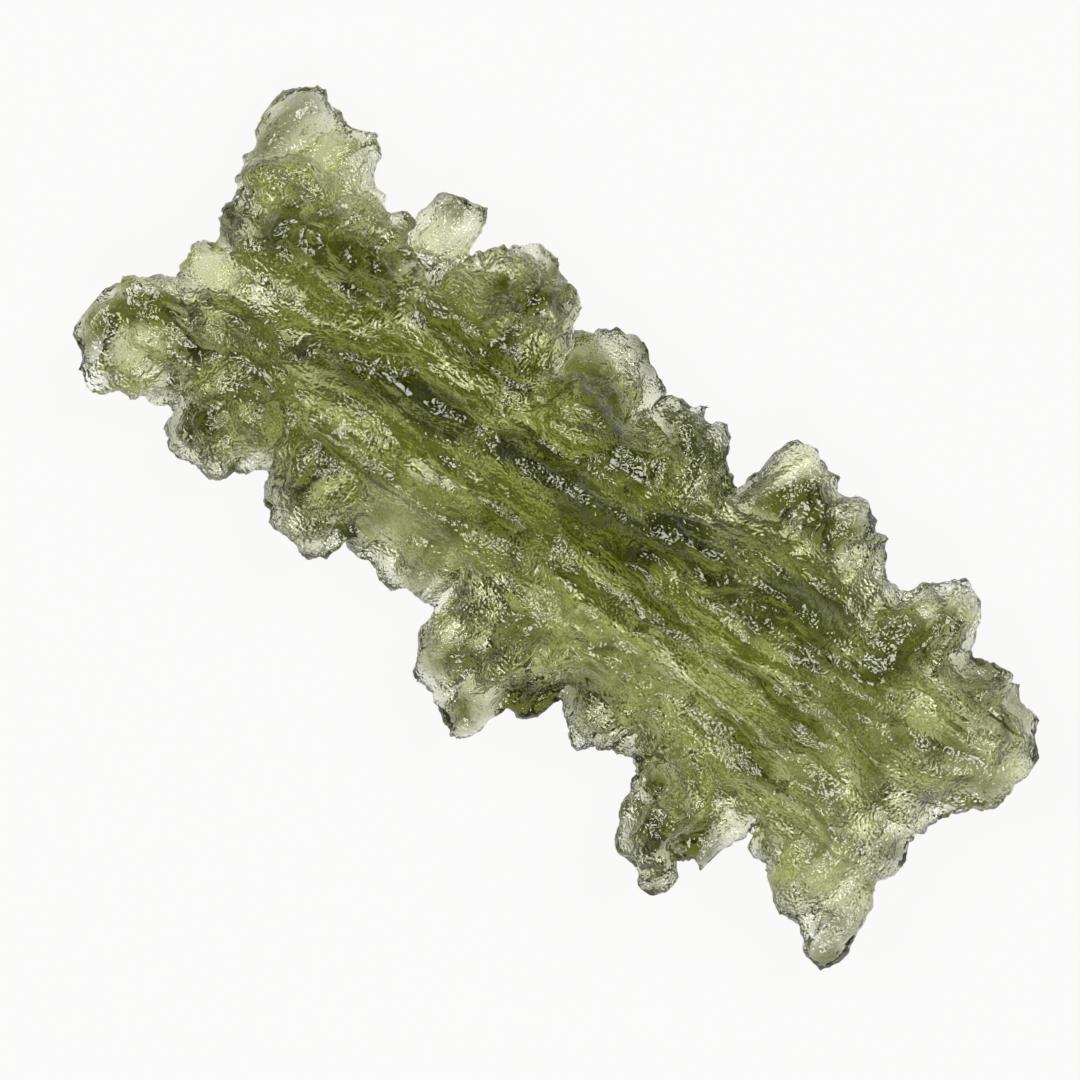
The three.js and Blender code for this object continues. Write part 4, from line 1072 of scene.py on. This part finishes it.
@dataclass
class Studio:
    """The pale table, the light around it and the camera above it.

    Attributes:
        table_size: The table's width in metres.
        top: The table's finish.
        sky: How bright the surroundings are overhead and at the horizon.
        sky_edge: Z of the direction where the horizon's brightness ends, and where the other's begins.
        sky_color: The color of the surroundings.
        lamps: (azimuth, elevation in degrees, distance, size in metres, radiance) of each lamp.
        aim: The point in mm that the camera looks down at.
        turn: How far the camera is turned about the view, in degrees.
        distance: From the camera to the aim, in metres.
        width: The width that the camera sees at the aim, in mm.
        sensor: The width of the camera's sensor, in mm.
        clip: The nearest and farthest that the camera sees, in metres.
    """

    table_size: float = 3.0
    top: PaleTop = field(default_factory=PaleTop)
    sky: tuple[float, float] = (0.06, 0.3)
    sky_edge: tuple[float, float] = (0.4, 0.85)
    sky_color: tuple[float, float, float] = (0.97, 0.98, 1.0)
    lamps: tuple[tuple[float, float, float, float, float], ...] = (
        (75.0, 62.0, 0.5, 0.22, 12.0),
        (195.0, 58.0, 0.5, 0.22, 12.0),
        (315.0, 64.0, 0.5, 0.22, 12.0),
    )
    aim: tuple[float, float, float] = (-0.605, -0.605, 4.5)
    turn: float = 38.0
    distance: float = 0.22
    width: float = 41.86
    sensor: float = 36.0
    clip: tuple[float, float] = (0.01, 10.0)

    def build(self) -> None:
        """Builds the table, the surroundings, the lamps and the camera."""
        self.table()
        self.surroundings()
        for lamp in self.lamps:
            self.lamp(*lamp)
        self.camera()

    def table(self) -> None:
        """Builds the table top."""
        half = self.table_size / 2
        mesh = bpy.data.meshes.new("table")
        mesh.from_pydata([(-half, -half, 0), (half, -half, 0), (half, half, 0), (-half, half, 0)],
                         [], [(0, 1, 2, 3)])
        mesh.materials.append(self.top.material())
        table = bpy.data.objects.new("table", mesh)
        bpy.context.scene.collection.objects.link(table)

    def surroundings(self) -> None:
        """Lights the room: bright at the horizon, dim overhead."""
        world = bpy.data.worlds.new("room")
        bpy.context.scene.world = world
        world.use_nodes = True
        graph = Graph(world.node_tree)
        up = graph.node("ShaderNodeSeparateXYZ", graph.node("ShaderNodeTexCoord").outputs["Generated"])
        overhead, horizon = self.sky
        back = world.node_tree.nodes["Background"]
        graph.put(back.inputs["Strength"], graph.ramp(up.outputs[2], *self.sky_edge, horizon, overhead))
        back.inputs["Color"].default_value = (*self.sky_color, 1)

    def lamp(self, azimuth: float, elevation: float, distance: float, size: float,
             radiance: float) -> None:
        """Builds a square lamp that faces the stone.

        Args:
            azimuth: Its direction about Z from +X, in degrees.
            elevation: Its height above the table, in degrees.
            distance: How far it is from the stone, in metres.
            size: Its width, in metres.
            radiance: How bright it looks.
        """
        light = bpy.data.lights.new("lamp", "AREA")
        light.size = size
        light.energy = radiance * size * size * math.pi
        lamp = bpy.data.objects.new("lamp", light)
        bpy.context.scene.collection.objects.link(lamp)
        turn, rise = math.radians(azimuth), math.radians(elevation)
        away = Vector((math.cos(turn) * math.cos(rise), math.sin(turn) * math.cos(rise), math.sin(rise)))
        lamp.location = away * distance
        lamp.rotation_euler = away.to_track_quat("Z", "Y").to_euler()
        lamp.visible_camera = False

    def camera(self) -> None:
        """Builds the camera, which looks straight down."""
        data = bpy.data.cameras.new("camera")
        data.sensor_width = self.sensor
        data.lens = data.sensor_width * self.distance / (self.width * MM)
        data.clip_start, data.clip_end = self.clip
        camera = bpy.data.objects.new("camera", data)
        bpy.context.scene.collection.objects.link(camera)
        camera.location = Vector(self.aim) * MM + Vector((0.0, 0.0, self.distance))
        camera.rotation_euler = (0.0, 0.0, math.radians(self.turn))
        bpy.context.scene.camera = camera
        bpy.context.scene.view_settings.view_transform = "Standard"


def main() -> None:
    logging.basicConfig(level=logging.INFO, format="%(name)s %(message)s")
    Stone().build()
    Studio().build()


if __name__ == "__main__":
    main()
